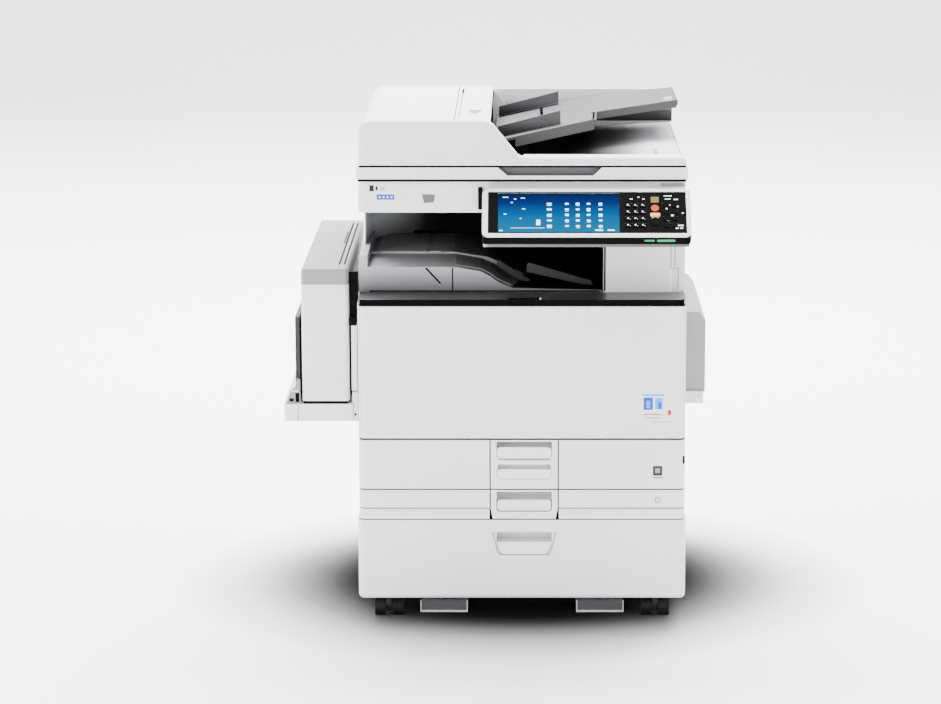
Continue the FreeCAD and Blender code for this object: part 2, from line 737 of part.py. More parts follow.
def feeder_body():
    """Feeder with its grip recess, exit tray, hump cheeks and rear hinge arms."""
    low, rim, top = s.feed_low, s.rim, s.feed_top
    front, rear = -1, s.feed_deep
    body = moulding("feeder_body", "XY", low, s.feed_seam, rect(-295, 295, front - 5, rear + 2))
    soften(body, s.corner, along("z", y=[front - 5.0]))
    seam, shoulder = s.feed_seam, s.hump_right.value
    profile = [(-291, seam), (292, seam), (292, rim), (-5, rim), (s.hump_right, top), (-291, top)]
    add(body, "XZ", front, rear, profile)
    for x, z, radius in ((-291, top, 25), (shoulder, top, 28), (-5, rim, 14), (292, rim, 12)):
        soften(body, radius, along("y", x=[x], z=[z.value]))
    soften(body, 11, along("x", y=[front], z=[top.value]))
    remove(body, "XY", rim, top, rect(-292, -119, front + 12, rear - 8))
    remove(body, "XY", rim - 4, rim, rect(-292, -262, front + 12, rear - 8))
    grip = [(-26, seam - 14), (126, seam - 14), (141, seam), (-42, seam)]
    remove(body, "XZ", front - 5, front + 12, grip)
    remove(body, "XY", rim - 16, top, rect(s.hump_right + 2, 3, front + 15, rear - 30))
    remove(body, "XY", rim - 16, rim, rect(-5, 284, front + 31, rear - 30))
    feed_slot = [(-112, rim + 6), (s.hump_right + 3, rim + 4), (s.hump_right + 3, rim + 42), (-112, rim + 30)]
    remove(body, "XZ", front + 31, rear - 30, feed_slot)
    remove(body, "XY", top - 4, top, rect(-96, -74, 90, 150))
    lid_x, lid_z = LID_HINGE
    remove(body, "XZ", front + 3, rear - 3, (lid_x, lid_z, 2 + s.pin_play))
    for y in (24, 492):
        add(body, "XZ", y, y + 5, rect(-168, -152, rim - 1, rim + 24))
        remove(body, "XZ", y, y + 5, (-160, rim + 15, s.pin_round + s.pin_play))
    tray_x, tray_z = TRAY_HINGE
    for y in (98, 486):
        add(body, "XZ", y, y + 7, rect(tray_x - 7, tray_x + 8, rim - 17, tray_z + 7))
        remove(body, "XZ", y, y + 7, (tray_x, tray_z, 2 + s.pin_play))
    back_wall = [(s.hump_right - 2, rim - 1), (290, rim - 1), (290, top - 3), (s.hump_right - 2, top - 3)]
    add(body, "XZ", 499, 505, back_wall)
    feed_y, feed_z = FEED_HINGE
    for inner in (-198, 168):
        arm = [(rear - 2, low + 2), (feed_y, low + 2), (feed_y, feed_z + 8), (rear - 2, feed_z + 8)]
        add(body, "YZ", inner, inner + 30, arm)
        add(body, "YZ", inner, inner + 30, (feed_y, feed_z, 8))
    for inner in (-230, 196):
        add(body, "YZ", inner, inner + 34, (feed_y, feed_z, s.pin_round))


def feeder_small_parts():
    """Pad under the feeder, the roller under the lid, and the lid itself."""
    moulding("platen_pad", "XY", s.scan_top + 0.6, s.feed_low, rect(-226, 226, 86, 414))
    rim = s.rim
    roller = moulding("feed_roller", "XZ", 24, 497, (-160, rim + 15, s.pin_round))
    for low, high in ((60, 120), (200, 320), (400, 460)):
        add(roller, "XZ", low, high, (-160, rim + 15, 11))
    lid_x, lid_z = LID_HINGE
    top, front, rear = s.feed_top, 11.5, s.feed_deep - 8.5
    lid = moulding("feeder_lid", "XZ", front, rear, rect(-291, -121, rim + 2, top))
    soften(lid, 25, along("y", x=[-291], z=[top.value]))
    remove(lid, "XY", rim + 2, top - 25, rect(-288, -124, front + 3, rear - 3))
    remove(lid, "XY", top - 25, top - 4, rect(-274, -124, front + 3, rear - 3))
    for low, high in ((front - 4, front + 4), (rear - 4, rear + 4)):
        add(lid, "XZ", low, high, (lid_x, lid_z, 2))


def slope_at(x):
    """Height of the original tray's top face at a place across the machine."""
    steep = min(x, TRAY_KNEE) - TRAY_HINGE[0]
    gentle = max(x, TRAY_KNEE) - TRAY_KNEE
    return TRAY_HINGE[1] + 7 + TRAY_RISE * steep + TRAY_RISE / 2.5 * gentle


def original_tray():
    """Sloping tray for originals and the two fences that slide on it."""
    hinge_x, hinge_z = TRAY_HINGE
    front, rear, start, end = 106, 485, -48, 288
    thick = 5
    body = moulding("original_tray", "XZ", front, rear, [
        (start, slope_at(start) - thick), (TRAY_KNEE, slope_at(TRAY_KNEE) - thick),
        (end, slope_at(end) - thick), (end, slope_at(end)),
        (TRAY_KNEE, slope_at(TRAY_KNEE)), (start, slope_at(start)),
    ])
    add(body, "XZ", front, rear, (hinge_x, hinge_z, 5))
    add(body, "XZ", front - 6, rear + 6, (hinge_x, hinge_z, 2))
    corner_cut = [(126, front - 1), (end + 1, front - 1), (end + 1, 270), (130, 200)]
    remove(body, "XY", s.rim, s.rim + 90, corner_cut)
    remove(body, "XY", s.rim, s.rim + 90, rect(34, 40, 140, 455))
    for label, y in (("guide_front", 150), ("guide_rear", 436)):
        guide = moulding(label, "XZ", y, y + 12, [
            (-44, slope_at(-44) + 0.6), (70, slope_at(70) + 0.6),
            (70, slope_at(70) + 3), (-44, slope_at(-44) + 3),
        ])
        wall = y if label == "guide_front" else y + 9
        add(guide, "XZ", wall, wall + 3, [
            (-44, slope_at(-44) + 1), (70, slope_at(70) + 1),
            (70, slope_at(70) + 24), (-44, slope_at(-44) + 20),
        ])
        add(guide, "XZ", y, y + 12, rect(35, 39, slope_at(37) - 7, slope_at(37) + 2))
        add(guide, "XZ", y, y + 12, rect(30, 44, slope_at(37) - 9.5, slope_at(37) - 7))


# ---- control panel -----------------------------------------------------------------------------

def lay_on_face(thing):
    """Puts a sub-part drawn flat on the sloping face: x across, y up the face, z out of it."""
    thing.Placement.Rotation = FreeCAD.Rotation(Vector(1, 0, 0), s.face_slope.value)
    place(thing, s.face_y, s.face_z)
    document.recompute()
    return thing


def on_face(y, z):
    """A place in the machine's coordinates, as up-the-face and out-of-the-face."""
    angle = math.radians(s.face_slope.value)
    ahead = y - s.face_y.value
    above = z - s.face_z.value
    up = ahead * math.cos(angle) + above * math.sin(angle)
    out = above * math.cos(angle) - ahead * math.sin(angle)
    return up, out


NUMBER_KEYS = [(186 + 13 * column, 26 + 15 * row) for column in range(3) for row in range(4)]
SIDE_KEYS = [(254 + 14 * column, 26 + 15 * row) for column in range(2) for row in range(4)]
START_KEY = (234, 34, 9)
STOP_KEY = (234, 64, 7)


def control_panel():
    """Tilting housing, its bezel, the touch screen and the keys."""
    left, right, tall = s.face_left, s.face_right, s.face_tall
    up, out = on_face(*PANEL_HINGE)
    housing = moulding("panel_housing", "YZ", left + 1, right - 1, [
        (1, -0.2), (tall - 1, -0.2), (tall, -8), (tall - 8, -20), (8, -22), (1, -14),
    ])
    remove(housing, "XY", -9, -0.2, rect(178, 286, 12, tall - 12))
    remove(housing, "XY", -4, -0.2, rect(s.screen_left - 1, s.screen_right + 1, 9, tall - 9))
    arm = [(up - 12, -20), (up + 8, -20), (up + 6, out), (up, out - 6), (up - 6, out)]
    for inner, outer, pin in ((-31, -22, -40), (248, 256, 248)):
        add(housing, "YZ", inner, outer, arm)
        add(housing, "YZ", pin, pin + 17, (up, out, 2.5))
    lay_on_face(housing)
    bezel = moulding("panel_bezel", "XY", -0.2, 3, rect(left, right, 0, tall))
    soften(bezel, 12, along("z", x=[left.value, right.value]))
    soften(bezel, s.edge, on_plane("z", 3))
    remove(bezel, "XY", 1.5, 3, rect(left + 10, right - 8, 7, tall - 7))
    remove(bezel, "XY", -0.2, 1.5, rect(s.screen_left, s.screen_right, 10, tall - 10))
    holes = [rect(u - 5.5, u + 5.5, v - 5, v + 5) for u, v in NUMBER_KEYS + SIDE_KEYS]
    rounds = [(u, v, radius + 0.5) for u, v, radius in (START_KEY, STOP_KEY)]
    remove(bezel, "XY", -0.2, 1.5, *(holes + rounds))
    lay_on_face(bezel)
    lay_on_face(moulding("touch_screen", "XY", -4, 1, rect(s.screen_left, s.screen_right, 10, tall - 10)))
    for label, (u, v, radius) in (("start_key", START_KEY), ("stop_key", STOP_KEY)):
        lay_on_face(moulding(label, "XY", -5, 1.5 + s.key_travel, (u, v, radius)))
    keys = []
    for u, v in NUMBER_KEYS + SIDE_KEYS:
        key = block(u - 5, u + 5, v - 4.5, v + 4.5, -5, 1.5 + s.key_travel)
        keys.append(key)
    lay_on_face(keep(together(*keys), "number_keys"))


# ---- side unit and right door ------------------------------------------------------------------

def side_unit():
    """Feed unit at the left: housing, lid, base with its dock, and the folding bypass tray."""
    left, right, front, rear = s.side_left, s.side_right, s.side_front, s.body_deep + 10
    seam_z = s.side_top - 30
    housing = moulding("side_unit_housing", "XY", s.side_low, seam_z, rect(left, right, front, rear))
    soften(housing, 8, along("z", y=[front.value]))
    remove(housing, "XY", s.side_low + 3, seam_z, rect(left + 3, right - 3, front + 3, rear - 3))
    add(housing, "XY", s.shelf_top, s.side_low + 1, rect(left + 8, right - 8, front + 12, rear - 12))
    remove(housing, "YZ", left, left + 3, rect(100, 560, s.side_low + 23, s.side_low + 39))
    lid = moulding("side_unit_lid", "XY", seam_z, s.side_top, rect(left, right, front, rear))
    soften(lid, 8, along("z", y=[front.value]))
    soften(lid, 7, on_plane("z", s.side_top))
    remove(lid, "XY", seam_z, s.side_top - 8, rect(left + 6, right - 6, front + 9, rear - 9))
    slots = [rect(x, x + 3.5, front + 40, rear - 40) for x in (-334, -325)]
    remove(lid, "XY", s.side_top - 8, s.side_top, *slots)
    base = moulding("side_unit_base", "XY", s.shelf_low, s.shelf_top, rect(s.shelf_left, -306, front, rear))
    soften(base, 6, along("z", y=[front.value]))
    add(base, "XY", s.shelf_low + 4, s.shelf_top, rect(-307, -half, front + 90, rear - 90))
    add(base, "XY", s.shelf_top - 1, s.shelf_top + 165, rect(-308, -300, front + 20, rear - 60))
    lug = rect(s.flap_x - 7, s.flap_x + 7, s.shelf_top - 1, s.flap_z + 8)
    for y in (72, 591):
        add(base, "XZ", y, y + 7, lug)
        remove(base, "XZ", y, y + 7, (s.flap_x, s.flap_z, 1.5 + s.pin_play))
    tray = moulding("bypass_tray", "XZ", 80, 590, [
        (s.flap_x - 3, s.flap_z - 4), (s.flap_x + 12, s.flap_z - 4), (s.flap_x + 12, s.flap_z + 150),
        (s.flap_x + 4, s.flap_z + 150), (s.flap_x + 4, s.flap_z + 8), (s.flap_x - 3, s.flap_z + 5),
    ])
    add(tray, "XZ", 74, 596, (s.flap_x, s.flap_z, 1.5))
    remove(tray, "YZ", s.flap_x + 9, s.flap_x + 12, rect(95, 575, s.flap_z + 14, s.flap_z + 140))


def right_door():
    """Jam-access door that swings out and down about its lower outer edge."""
    right, low, top = s.bulge_right, s.bulge_low, s.bulge_top
    front, rear = s.bulge_front, s.bulge_rear
    body = moulding("right_door", "XZ", front, rear, [
        (half + 4, low), (right - 12, low), (right, low + 14), (right, top - 16),
        (right - 12, top), (half + 1, top), (half + 1, low + 6),
    ])
    remove(body, "YZ", half + 1, right - 4, rect(front + 3, rear - 3, low + 14, top - 18))
    add(body, "XZ", front - 5, rear + 5, (right - 12, low + 7, 1.5))


# ---- build, check and write --------------------------------------------------------------------

CASTERS = (
    ("front_left", -1, s.caster_front), ("front_right", 1, s.caster_front),
    ("rear_left", -1, s.caster_rear), ("rear_right", 1, s.caster_rear),
)

base_frame()
for corner, side, depth in CASTERS:
    caster(corner, side, depth)
stabiliser_feet()
inner_frame()
side_covers()
rear_cover()
power_inlet()
front_cover()
inner_panel()
toner_bottles()
trays()
base_trim()
front_ledge()
print_units()
control_board()
output_tray()
exit_unit_cover()
scanner()
scanner_carriage()
feeder_body()
feeder_small_parts()
original_tray()
control_panel()
side_unit()
right_door()

document.recompute()
for thing in document.Objects:
    if "Invalid" in thing.State or "Error" in thing.State:
        raise RuntimeError("%s does not recompute" % thing.Label)
os.makedirs("parts", exist_ok=True)
for part in sub_parts:
    if part.Shape.isNull() or not part.Shape.isValid():
        raise RuntimeError("%s has no valid shape" % part.Label)
    part.Shape.exportStep("parts/%s.step" % part.Label)
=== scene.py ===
"""Look of the photocopier: materials, moulded details, floor, lights and camera.

Lengths in this file are millimetres on the machine itself: x to the right from the middle of the
body, y back from the front panels and z up from the floor. at() turns them into the frame's metres.
"""
import math

import bmesh
import bpy
from mathutils import Matrix, Vector


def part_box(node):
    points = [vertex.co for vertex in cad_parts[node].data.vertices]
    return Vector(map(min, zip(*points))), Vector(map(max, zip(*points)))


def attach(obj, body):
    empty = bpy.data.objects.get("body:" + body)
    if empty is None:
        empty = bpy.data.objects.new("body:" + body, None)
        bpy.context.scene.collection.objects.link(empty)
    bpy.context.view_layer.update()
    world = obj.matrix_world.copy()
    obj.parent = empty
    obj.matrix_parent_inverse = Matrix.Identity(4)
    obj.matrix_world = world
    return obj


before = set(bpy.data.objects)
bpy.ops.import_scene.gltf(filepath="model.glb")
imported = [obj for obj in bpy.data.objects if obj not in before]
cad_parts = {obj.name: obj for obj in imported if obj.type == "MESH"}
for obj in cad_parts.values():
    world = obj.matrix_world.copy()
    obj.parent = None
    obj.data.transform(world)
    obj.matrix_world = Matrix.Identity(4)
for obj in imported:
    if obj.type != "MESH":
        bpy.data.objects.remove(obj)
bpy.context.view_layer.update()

MM = 0.001


scanner_low, scanner_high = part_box("scanner_housing")
MIDDLE_X = (scanner_low.x + scanner_high.x) / 2
FRONT_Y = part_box("tray_3_front")[0].y


def at(x, y, z):
    """A place on the machine in the frame's metres."""
    return Vector((MIDDLE_X + x * MM, FRONT_Y + y * MM, z * MM))


def level(node, end):
    """The lowest (0) or highest (1) point of a CAD node, in mm above the floor."""
    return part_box(node)[end].z / MM


TRAY_3_TOP = level("tray_3_front", 1)
TRAY_2_TOP = level("tray_2_front", 1)
TRAY_1_TOP = level("tray_1_front", 1)
DOOR_TOP = level("front_cover", 1)
DECK = level("front_ledge", 1)
BAY_TOP = level("scanner_housing", 0)
SCAN_TOP = level("platen_glass", 1)
FEED_TOP = level("feeder_lid", 1)
RIM = FEED_TOP - 65
FEED_SEAM = FEED_TOP - 84
PANEL_FOOT_Z = BAY_TOP - 28
FACE_SLOPE = math.radians(42)


# ---- materials ---------------------------------------------------------------------------------

def new_material(name):
    material = bpy.data.materials.new(name)
    material.use_nodes = True
    return material, material.node_tree, material.node_tree.nodes["Principled BSDF"]


def noise(tree, scale, detail=3.0, rough=0.5):
    place = tree.nodes.new("ShaderNodeTexCoord")
    texture = tree.nodes.new("ShaderNodeTexNoise")
    texture.inputs["Scale"].default_value = scale
    texture.inputs["Detail"].default_value = detail
    texture.inputs["Roughness"].default_value = rough
    tree.links.new(place.outputs["Object"], texture.inputs["Vector"])
    return texture


def ramp(tree, value, stops):
    """A colour ramp on a value: stops are (position, colour)."""
    node = tree.nodes.new("ShaderNodeValToRGB")
    band = node.color_ramp
    while len(band.elements) < len(stops):
        band.elements.new(0.5)
    for element, (position, colour) in zip(band.elements, stops):
        element.position = position
        element.color = (*colour, 1.0)
    tree.links.new(value, node.inputs["Fac"])
    return node.outputs["Color"]


def spread(tree, value, low, high):
    """Maps 0..1 to a range."""
    node = tree.nodes.new("ShaderNodeMapRange")
    node.inputs["To Min"].default_value = low
    node.inputs["To Max"].default_value = high
    tree.links.new(value, node.inputs["Value"])
    return node.outputs["Result"]


def shade(colour, amount):
    return tuple(min(1.0, channel * amount) for channel in colour)


def plastic(name, colour, rough=0.42, grain=0.05, grain_scale=1500.0, tone=0.03, shine=0.5):
    """Moulded plastic: fine spark-eroded grain, faint drift of tone and handling marks in the sheen."""
    material, tree, shader = new_material(name)
    drift = noise(tree, 5.0, 4.0)
    stops = ((0.3, shade(colour, 1.0 - tone)), (0.7, shade(colour, 1.0 + tone)))
    tree.links.new(ramp(tree, drift.outputs["Fac"], stops), shader.inputs["Base Color"])
    smears = noise(tree, 38.0, 5.0, 0.65)
    sheen = spread(tree, smears.outputs["Fac"], rough - 0.07, rough + 0.07)
    tree.links.new(sheen, shader.inputs["Roughness"])
    texture = noise(tree, grain_scale, 2.0)
    bump = tree.nodes.new("ShaderNodeBump")
    bump.inputs["Strength"].default_value = grain
    bump.inputs["Distance"].default_value = 0.0004
    tree.links.new(texture.outputs["Fac"], bump.inputs["Height"])
    tree.links.new(bump.outputs["Normal"], shader.inputs["Normal"])
    shader.inputs["Specular IOR Level"].default_value = shine
    return material


def metal(name, colour, rough, streak=(4.0, 260.0, 4.0)):
    """Rolled or plated metal with streaks along one way and small scuffs."""
    material, tree, shader = new_material(name)
    shader.inputs["Metallic"].default_value = 1.0
    place = tree.nodes.new("ShaderNodeTexCoord")
    stretch = tree.nodes.new("ShaderNodeMapping")
    stretch.inputs["Scale"].default_value = streak
    tree.links.new(place.outputs["Object"], stretch.inputs["Vector"])
    lines = tree.nodes.new("ShaderNodeTexNoise")
    lines.inputs["Scale"].default_value = 6.0
    lines.inputs["Detail"].default_value = 6.0
    tree.links.new(stretch.outputs["Vector"], lines.inputs["Vector"])
    stops = ((0.25, shade(colour, 0.86)), (0.75, shade(colour, 1.08)))
    tree.links.new(ramp(tree, lines.outputs["Fac"], stops), shader.inputs["Base Color"])
    scuffs = noise(tree, 60.0, 6.0, 0.7)
    sheen = spread(tree, scuffs.outputs["Fac"], rough - 0.1, rough + 0.14)
    tree.links.new(sheen, shader.inputs["Roughness"])
    bump = tree.nodes.new("ShaderNodeBump")
    bump.inputs["Strength"].default_value = 0.08
    bump.inputs["Distance"].default_value = 0.0003
    tree.links.new(lines.outputs["Fac"], bump.inputs["Height"])
    tree.links.new(bump.outputs["Normal"], shader.inputs["Normal"])
    return material


def glowing(name, colour, strength):
    """A lit lens with a slight mottle."""
    material, tree, shader = new_material(name)
    mottle = noise(tree, 220.0, 2.0)
    stops = ((0.2, shade(colour, 0.85)), (0.8, shade(colour, 1.1)))
    tint = ramp(tree, mottle.outputs["Fac"], stops)
    tree.links.new(tint, shader.inputs["Base Color"])
    tree.links.new(tint, shader.inputs["Emission Color"])
    shader.inputs["Emission Strength"].default_value = strength
    shader.inputs["Roughness"].default_value = 0.2
    return material


def glass(name, colour):
    material, tree, shader = new_material(name)
    dust = noise(tree, 120.0, 6.0, 0.7)
    tree.links.new(spread(tree, dust.outputs["Fac"], 0.02, 0.1), shader.inputs["Roughness"])
    shader.inputs["Base Color"].default_value = (*colour, 1.0)
    shader.inputs["Transmission Weight"].default_value = 0.85
    shader.inputs["IOR"].default_value = 1.52
    return material


def place_along(tree, axis, low, high):
    """0 to 1 between two levels (mm on the machine) along an axis of the frame."""
    place = tree.nodes.new("ShaderNodeTexCoord")
    parts = tree.nodes.new("ShaderNodeSeparateXYZ")
    tree.links.new(place.outputs["Object"], parts.inputs["Vector"])
    level = tree.nodes.new("ShaderNodeMapRange")
    start = at(0, 0, 0)["XYZ".index(axis)]
    level.inputs["From Min"].default_value = start + low * MM
    level.inputs["From Max"].default_value = start + high * MM
    tree.links.new(parts.outputs[axis], level.inputs["Value"])
    return level.outputs["Result"]


def times(tree, one, other, amount=1.0):
    mix = tree.nodes.new("ShaderNodeMix")
    mix.data_type = "RGBA"
    mix.blend_type = "MULTIPLY"
    mix.inputs["Factor"].default_value = amount
    tree.links.new(one, mix.inputs["A"])
    tree.links.new(other, mix.inputs["B"])
    return mix.outputs["Result"]


def fade(name, axis, low, high, stops, rough=0.45, shine=0.3, dim=None, glow=0.0):
    """A moulding whose tone runs from one end to the other, with cloudy wear; dim is a second such run. Most
    runs here are painted light and shade; the screen's run is its image.
    """
    material, tree, shader = new_material(name)
    colour = ramp(tree, place_along(tree, axis, low, high), stops)
    if dim:
        dim_axis, dim_low, dim_high, dim_stops = dim
        colour = times(tree, colour, ramp(tree, place_along(tree, dim_axis, dim_low, dim_high), dim_stops))
    clouds = noise(tree, 22.0, 3.0)
    veil = ramp(tree, clouds.outputs["Fac"], ((0.3, (0.75, 0.8, 0.88)), (0.7, (1.0, 1.0, 1.0))))
    colour = times(tree, colour, veil, 0.3)
    if glow:
        tree.links.new(colour, shader.inputs["Emission Color"])
        shader.inputs["Emission Strength"].default_value = glow
        shader.inputs["Base Color"].default_value = (0.002, 0.004, 0.01, 1.0)
    else:
        tree.links.new(colour, shader.inputs["Base Color"])
    smears = noise(tree, 90.0, 4.0)
    sheen = spread(tree, smears.outputs["Fac"], rough - 0.05, rough + 0.08)
    tree.links.new(sheen, shader.inputs["Roughness"])
    shader.inputs["Specular IOR Level"].default_value = shine
    return material


def greys(*steps):
    """Ramp stops from (position, grey) pairs, with a trace of blue."""
    return [(position, (value, value, value * 1.01)) for position, value in steps]


WHITE = plastic("white_moulding", (0.66, 0.66, 0.65), rough=0.46)
PALE = plastic("pale_grey_moulding", (0.46, 0.46, 0.46), rough=0.48)
GREY = plastic("mid_grey_moulding", (0.20, 0.20, 0.205), rough=0.45, grain=0.08)
# Dark grey for the scanner's window, and painted shade in the feeder's grip recess.
SLOPE = plastic("dark_grey_and_recess_shade", (0.075, 0.075, 0.078), rough=0.38, grain=0.06)
CHARCOAL = plastic("charcoal_moulding", (0.020, 0.020, 0.022), rough=0.5, grain=0.1, shine=0.25)
# Near black for seams, gaps and dark parts, and also painted shade in the bay and under the feeder's tray.
LINING_AND_SHADE = plastic("dark_lining_and_painted_shade", (0.002, 0.002, 0.002), rough=0.6, grain=0.12, shine=0.04)
GLOSS = plastic("black_gloss", (0.035, 0.036, 0.038), rough=0.35, grain=0.01, shine=0.4)
FACE = plastic("panel_face", (0.002, 0.002, 0.002), rough=0.3, grain=0.02, shine=0.03)
RUBBER = plastic("wheel_tread", (0.006, 0.006, 0.006), rough=0.6, grain=0.25, grain_scale=600.0, shine=0.2)
STEEL = metal("zinc_plate", (0.62, 0.63, 0.64), 0.36)
# Bright white for the ledge's catch, and painted highlights on the feet's edges and the feed bracket's edge.
BRIGHT = plastic("bright_edge_and_highlight", (0.80, 0.80, 0.80), rough=0.3)
# Dark coat for the laser, fuser and transfer units, and painted shade on the stabiliser feet.
COAT_AND_SHADE = plastic("powder_coat_and_painted_shade", (0.09, 0.09, 0.095), rough=0.5, grain=0.35, grain_scale=900.0)
FOAM = plastic("platen_film", (0.82, 0.82, 0.80), rough=0.6, grain=0.15, grain_scale=400.0)
BOARD = plastic("solder_mask", (0.01, 0.10, 0.035), rough=0.3, grain=0.1, grain_scale=300.0)
GLASS = glass("platen_glass", (0.80, 0.92, 0.88))
TRAY_GREY = plastic("tray_grey_moulding", (0.06, 0.06, 0.061), rough=0.5, shine=0.15)
# Grey fences with painted shade: darker towards the foot.
FENCE = fade("fence_grey_and_painted_shade", "Z", RIM + 10, RIM + 42, greys((0.0, 0.015), (0.5, 0.03), (1.0, 0.09)), shine=0.08)
# Painted shadow under the originals tray: near black at the left, grey at the right.
EXIT_FLOOR = fade(
    "exit_floor", "X", 60, 235,
    greys((0.0, 0.004), (0.35, 0.015), (0.6, 0.09), (0.75, 0.17), (1.0, 0.5)), shine=0.0,
)
# Painted shade: the output tray is darker towards the ledge and lighter towards its top.
BAY_FRONT = fade("bay_front", "Z", DECK, DECK + 50, greys((0.0, 0.06), (0.35, 0.16), (1.0, 0.34)))
# Painted shade: the bay floor is darker towards the back and the right.
BAY_FLOOR = fade(
    "bay_floor", "Y", 75, 330, greys((0.0, 0.42), (0.4, 0.24), (1.0, 0.16)), shine=0.08,
    dim=("X", -160, 0, greys((0.0, 1.0), (0.5, 0.45), (1.0, 0.25))),
)
# Painted shade: the wall behind the exit tray is darker towards its foot, under the originals tray.
BACK_WALL = fade(
    "feeder_wall", "Z", RIM, RIM + 40, greys((0.0, 0.02), (0.5, 0.07), (0.8, 0.4), (1.0, 0.72)), shine=0.1,
)
# Painted light and shade: the bay's back wall is light at its curved left end, near black at the right and
# darker towards the foot.
BAY_WALL = fade(
    "bay_wall", "X", -292, -150,
    greys((0.0, 0.97), (0.1, 0.95), (0.25, 0.7), (0.44, 0.35), (0.75, 0.03), (1.0, 0.002)),
    shine=0.05, dim=("Z", DECK + 45, DECK + 92, greys((0.0, 0.3), (1.0, 1.0))),
)
DISPLAY = fade(
    "display", "Z", PANEL_FOOT_Z + 7, PANEL_FOOT_Z + 67,
    (
        (0.0, (0.001, 0.36, 0.72)), (0.4, (0.0, 0.26, 0.72)),
        (0.75, (0.0, 0.04, 0.30)), (1.0, (0.001, 0.010, 0.08)),
    ),
    rough=0.3, shine=0.0, glow=0.75,
)
ICON = glowing("screen_icons", (0.60, 0.80, 0.95), 0.6)
BAND = plastic("panel_band_grey", (0.004, 0.004, 0.004), rough=0.5, shine=0.0)
# Painted shade: a darker copy of the ledge's black gloss, with no reflection, for its front faces.
LEDGE_FRONT = plastic("ledge_front_painted_shade", (0.003, 0.003, 0.003), rough=0.45, shine=0.0)
# Painted shade: the right door is grey in place of the covers' white.
DOOR_SHADE = plastic("side_door_painted_shade", (0.25, 0.25, 0.25), rough=0.48, shine=0.3)
LID_GREY = plastic("side_lid_grey", (0.21, 0.21, 0.21), rough=0.48, shine=0.3)
# Painted shade: the pale panel housing is dark grey, lighter only at its left end.
SKIRT = fade("panel_skirt_painted_shade", "X", -70, 60, greys((0.0, 0.5), (0.08, 0.11), (1.0, 0.09)), shine=0.2)
PRINT = plastic("white_print", (0.72, 0.73, 0.74), rough=0.5, grain=0.02)
DARK_PRINT = plastic("dark_print", (0.02, 0.02, 0.022), rough=0.5, grain=0.02, shine=0.1)
BLUE_PRINT = plastic("blue_print", (0.01, 0.05, 0.42), rough=0.4, grain=0.02, shine=0.2)
SKY_PRINT = plastic("sky_print", (0.02, 0.30, 0.75), rough=0.4, grain=0.02, shine=0.2)
RED_PRINT = plastic("red_print", (0.40, 0.02, 0.004), rough=0.4, grain=0.02, shine=0.2)
CREAM_PRINT = plastic("cream_print", (0.60, 0.40, 0.14), rough=0.45, grain=0.02, shine=0.2)
AMBER_PRINT = plastic("amber_print", (0.12, 0.09, 0.02), rough=0.45, grain=0.02, shine=0.2)
GREEN_LIGHT = glowing("ready_light", (0.01, 0.22, 0.07), 0.25)
TONER = {
    "black": plastic("bottle_black", (0.02, 0.02, 0.02), rough=0.35),
    "cyan": plastic("bottle_cyan", (0.0, 0.30, 0.55), rough=0.35),
    "magenta": plastic("bottle_magenta", (0.50, 0.02, 0.20), rough=0.35),
    "yellow": plastic("bottle_yellow", (0.80, 0.55, 0.02), rough=0.35),
}

NODE_LOOKS = {
    STEEL: ["base_frame", "inner_frame", "tray_1_lift_plate", "tray_2_lift_plate", "tray_3_lift_plate"],
    WHITE: [
        "left_cover", "right_cover", "rear_cover", "front_cover", "tray_1_front", "tray_2_front",
        "tray_3_front", "base_trim", "exit_unit_cover", "scanner_housing", "feeder_body", "feeder_lid",
        "panel_bezel", "side_unit_housing", "side_unit_base",
    ],
    LID_GREY: ["side_unit_lid"],
    # The right door's grey is painted shade.
    DOOR_SHADE: ["right_door"],
    TRAY_GREY: ["original_tray"],
    # The guides' darker feet are painted shade.
    FENCE: ["guide_front", "guide_rear"],
    # The output tray's tone run is painted shade.
    BAY_FRONT: ["output_tray"],
    GREY: ["tray_1_box", "tray_2_box", "tray_3_box"],
    GLOSS: ["front_ledge"],
    FACE: ["touch_screen", "number_keys", "start_key"],
    CHARCOAL: [
        "inner_panel", "panel_housing", "scanner_carriage", "feed_roller", "bypass_tray", "power_inlet",
        "imaging_units",
    ],
    # Painted shade: the stabiliser feet are dark grey; their edges get painted highlights in front_marks.
    COAT_AND_SHADE: ["laser_unit", "fuser_unit", "transfer_unit", "stabiliser_feet"],
    FOAM: ["platen_pad"],
    BOARD: ["control_board"],
    GLASS: ["platen_glass"],
    RED_PRINT: ["stop_key"],
}
for colour, look in TONER.items():
    NODE_LOOKS[look] = ["toner_bottle_" + colour]
for corner in ("front_left", "front_right", "rear_left", "rear_right"):
    NODE_LOOKS[CHARCOAL].append("caster_hub_" + corner)
    NODE_LOOKS.setdefault(RUBBER, []).append("caster_wheels_" + corner)

SHARP_NODES = ("platen_glass", "platen_pad", "control_board", "inner_frame")


def dress_nodes():
    """Gives each CAD node its material, and a small bevel so that its edges catch the light."""
    for look, names in NODE_LOOKS.items():
        for name in names:
            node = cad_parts[name]
            node.data.materials.clear()
            node.data.materials.append(look)
            if name in SHARP_NODES:
                continue
            bevel = node.modifiers.new("edge_round", "BEVEL")
            bevel.width = 0.7 * MM
            bevel.segments = 2
            bevel.limit_method = "ANGLE"
            bevel.angle_limit = math.radians(38)
            bevel.harden_normals = True


def paint(node_name, look, test):
    """Gives another material to the faces of a CAD node that test picks by centre (mm) and normal."""
    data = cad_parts[node_name].data
    data.materials.append(look)
    index = len(data.materials) - 1
    for polygon in data.polygons:
        centre = (polygon.center - at(0, 0, 0)) / MM
        if test(centre, polygon.normal):
            polygon.material_index = index


def within(across, along, up):
    """A test for faces whose centre lies in a box given by its x, y and z ranges."""
    def test(centre, normal):
        ranges = zip(centre, (across, along, up))
        return all(low < value < high for value, (low, high) in ranges)
    return test


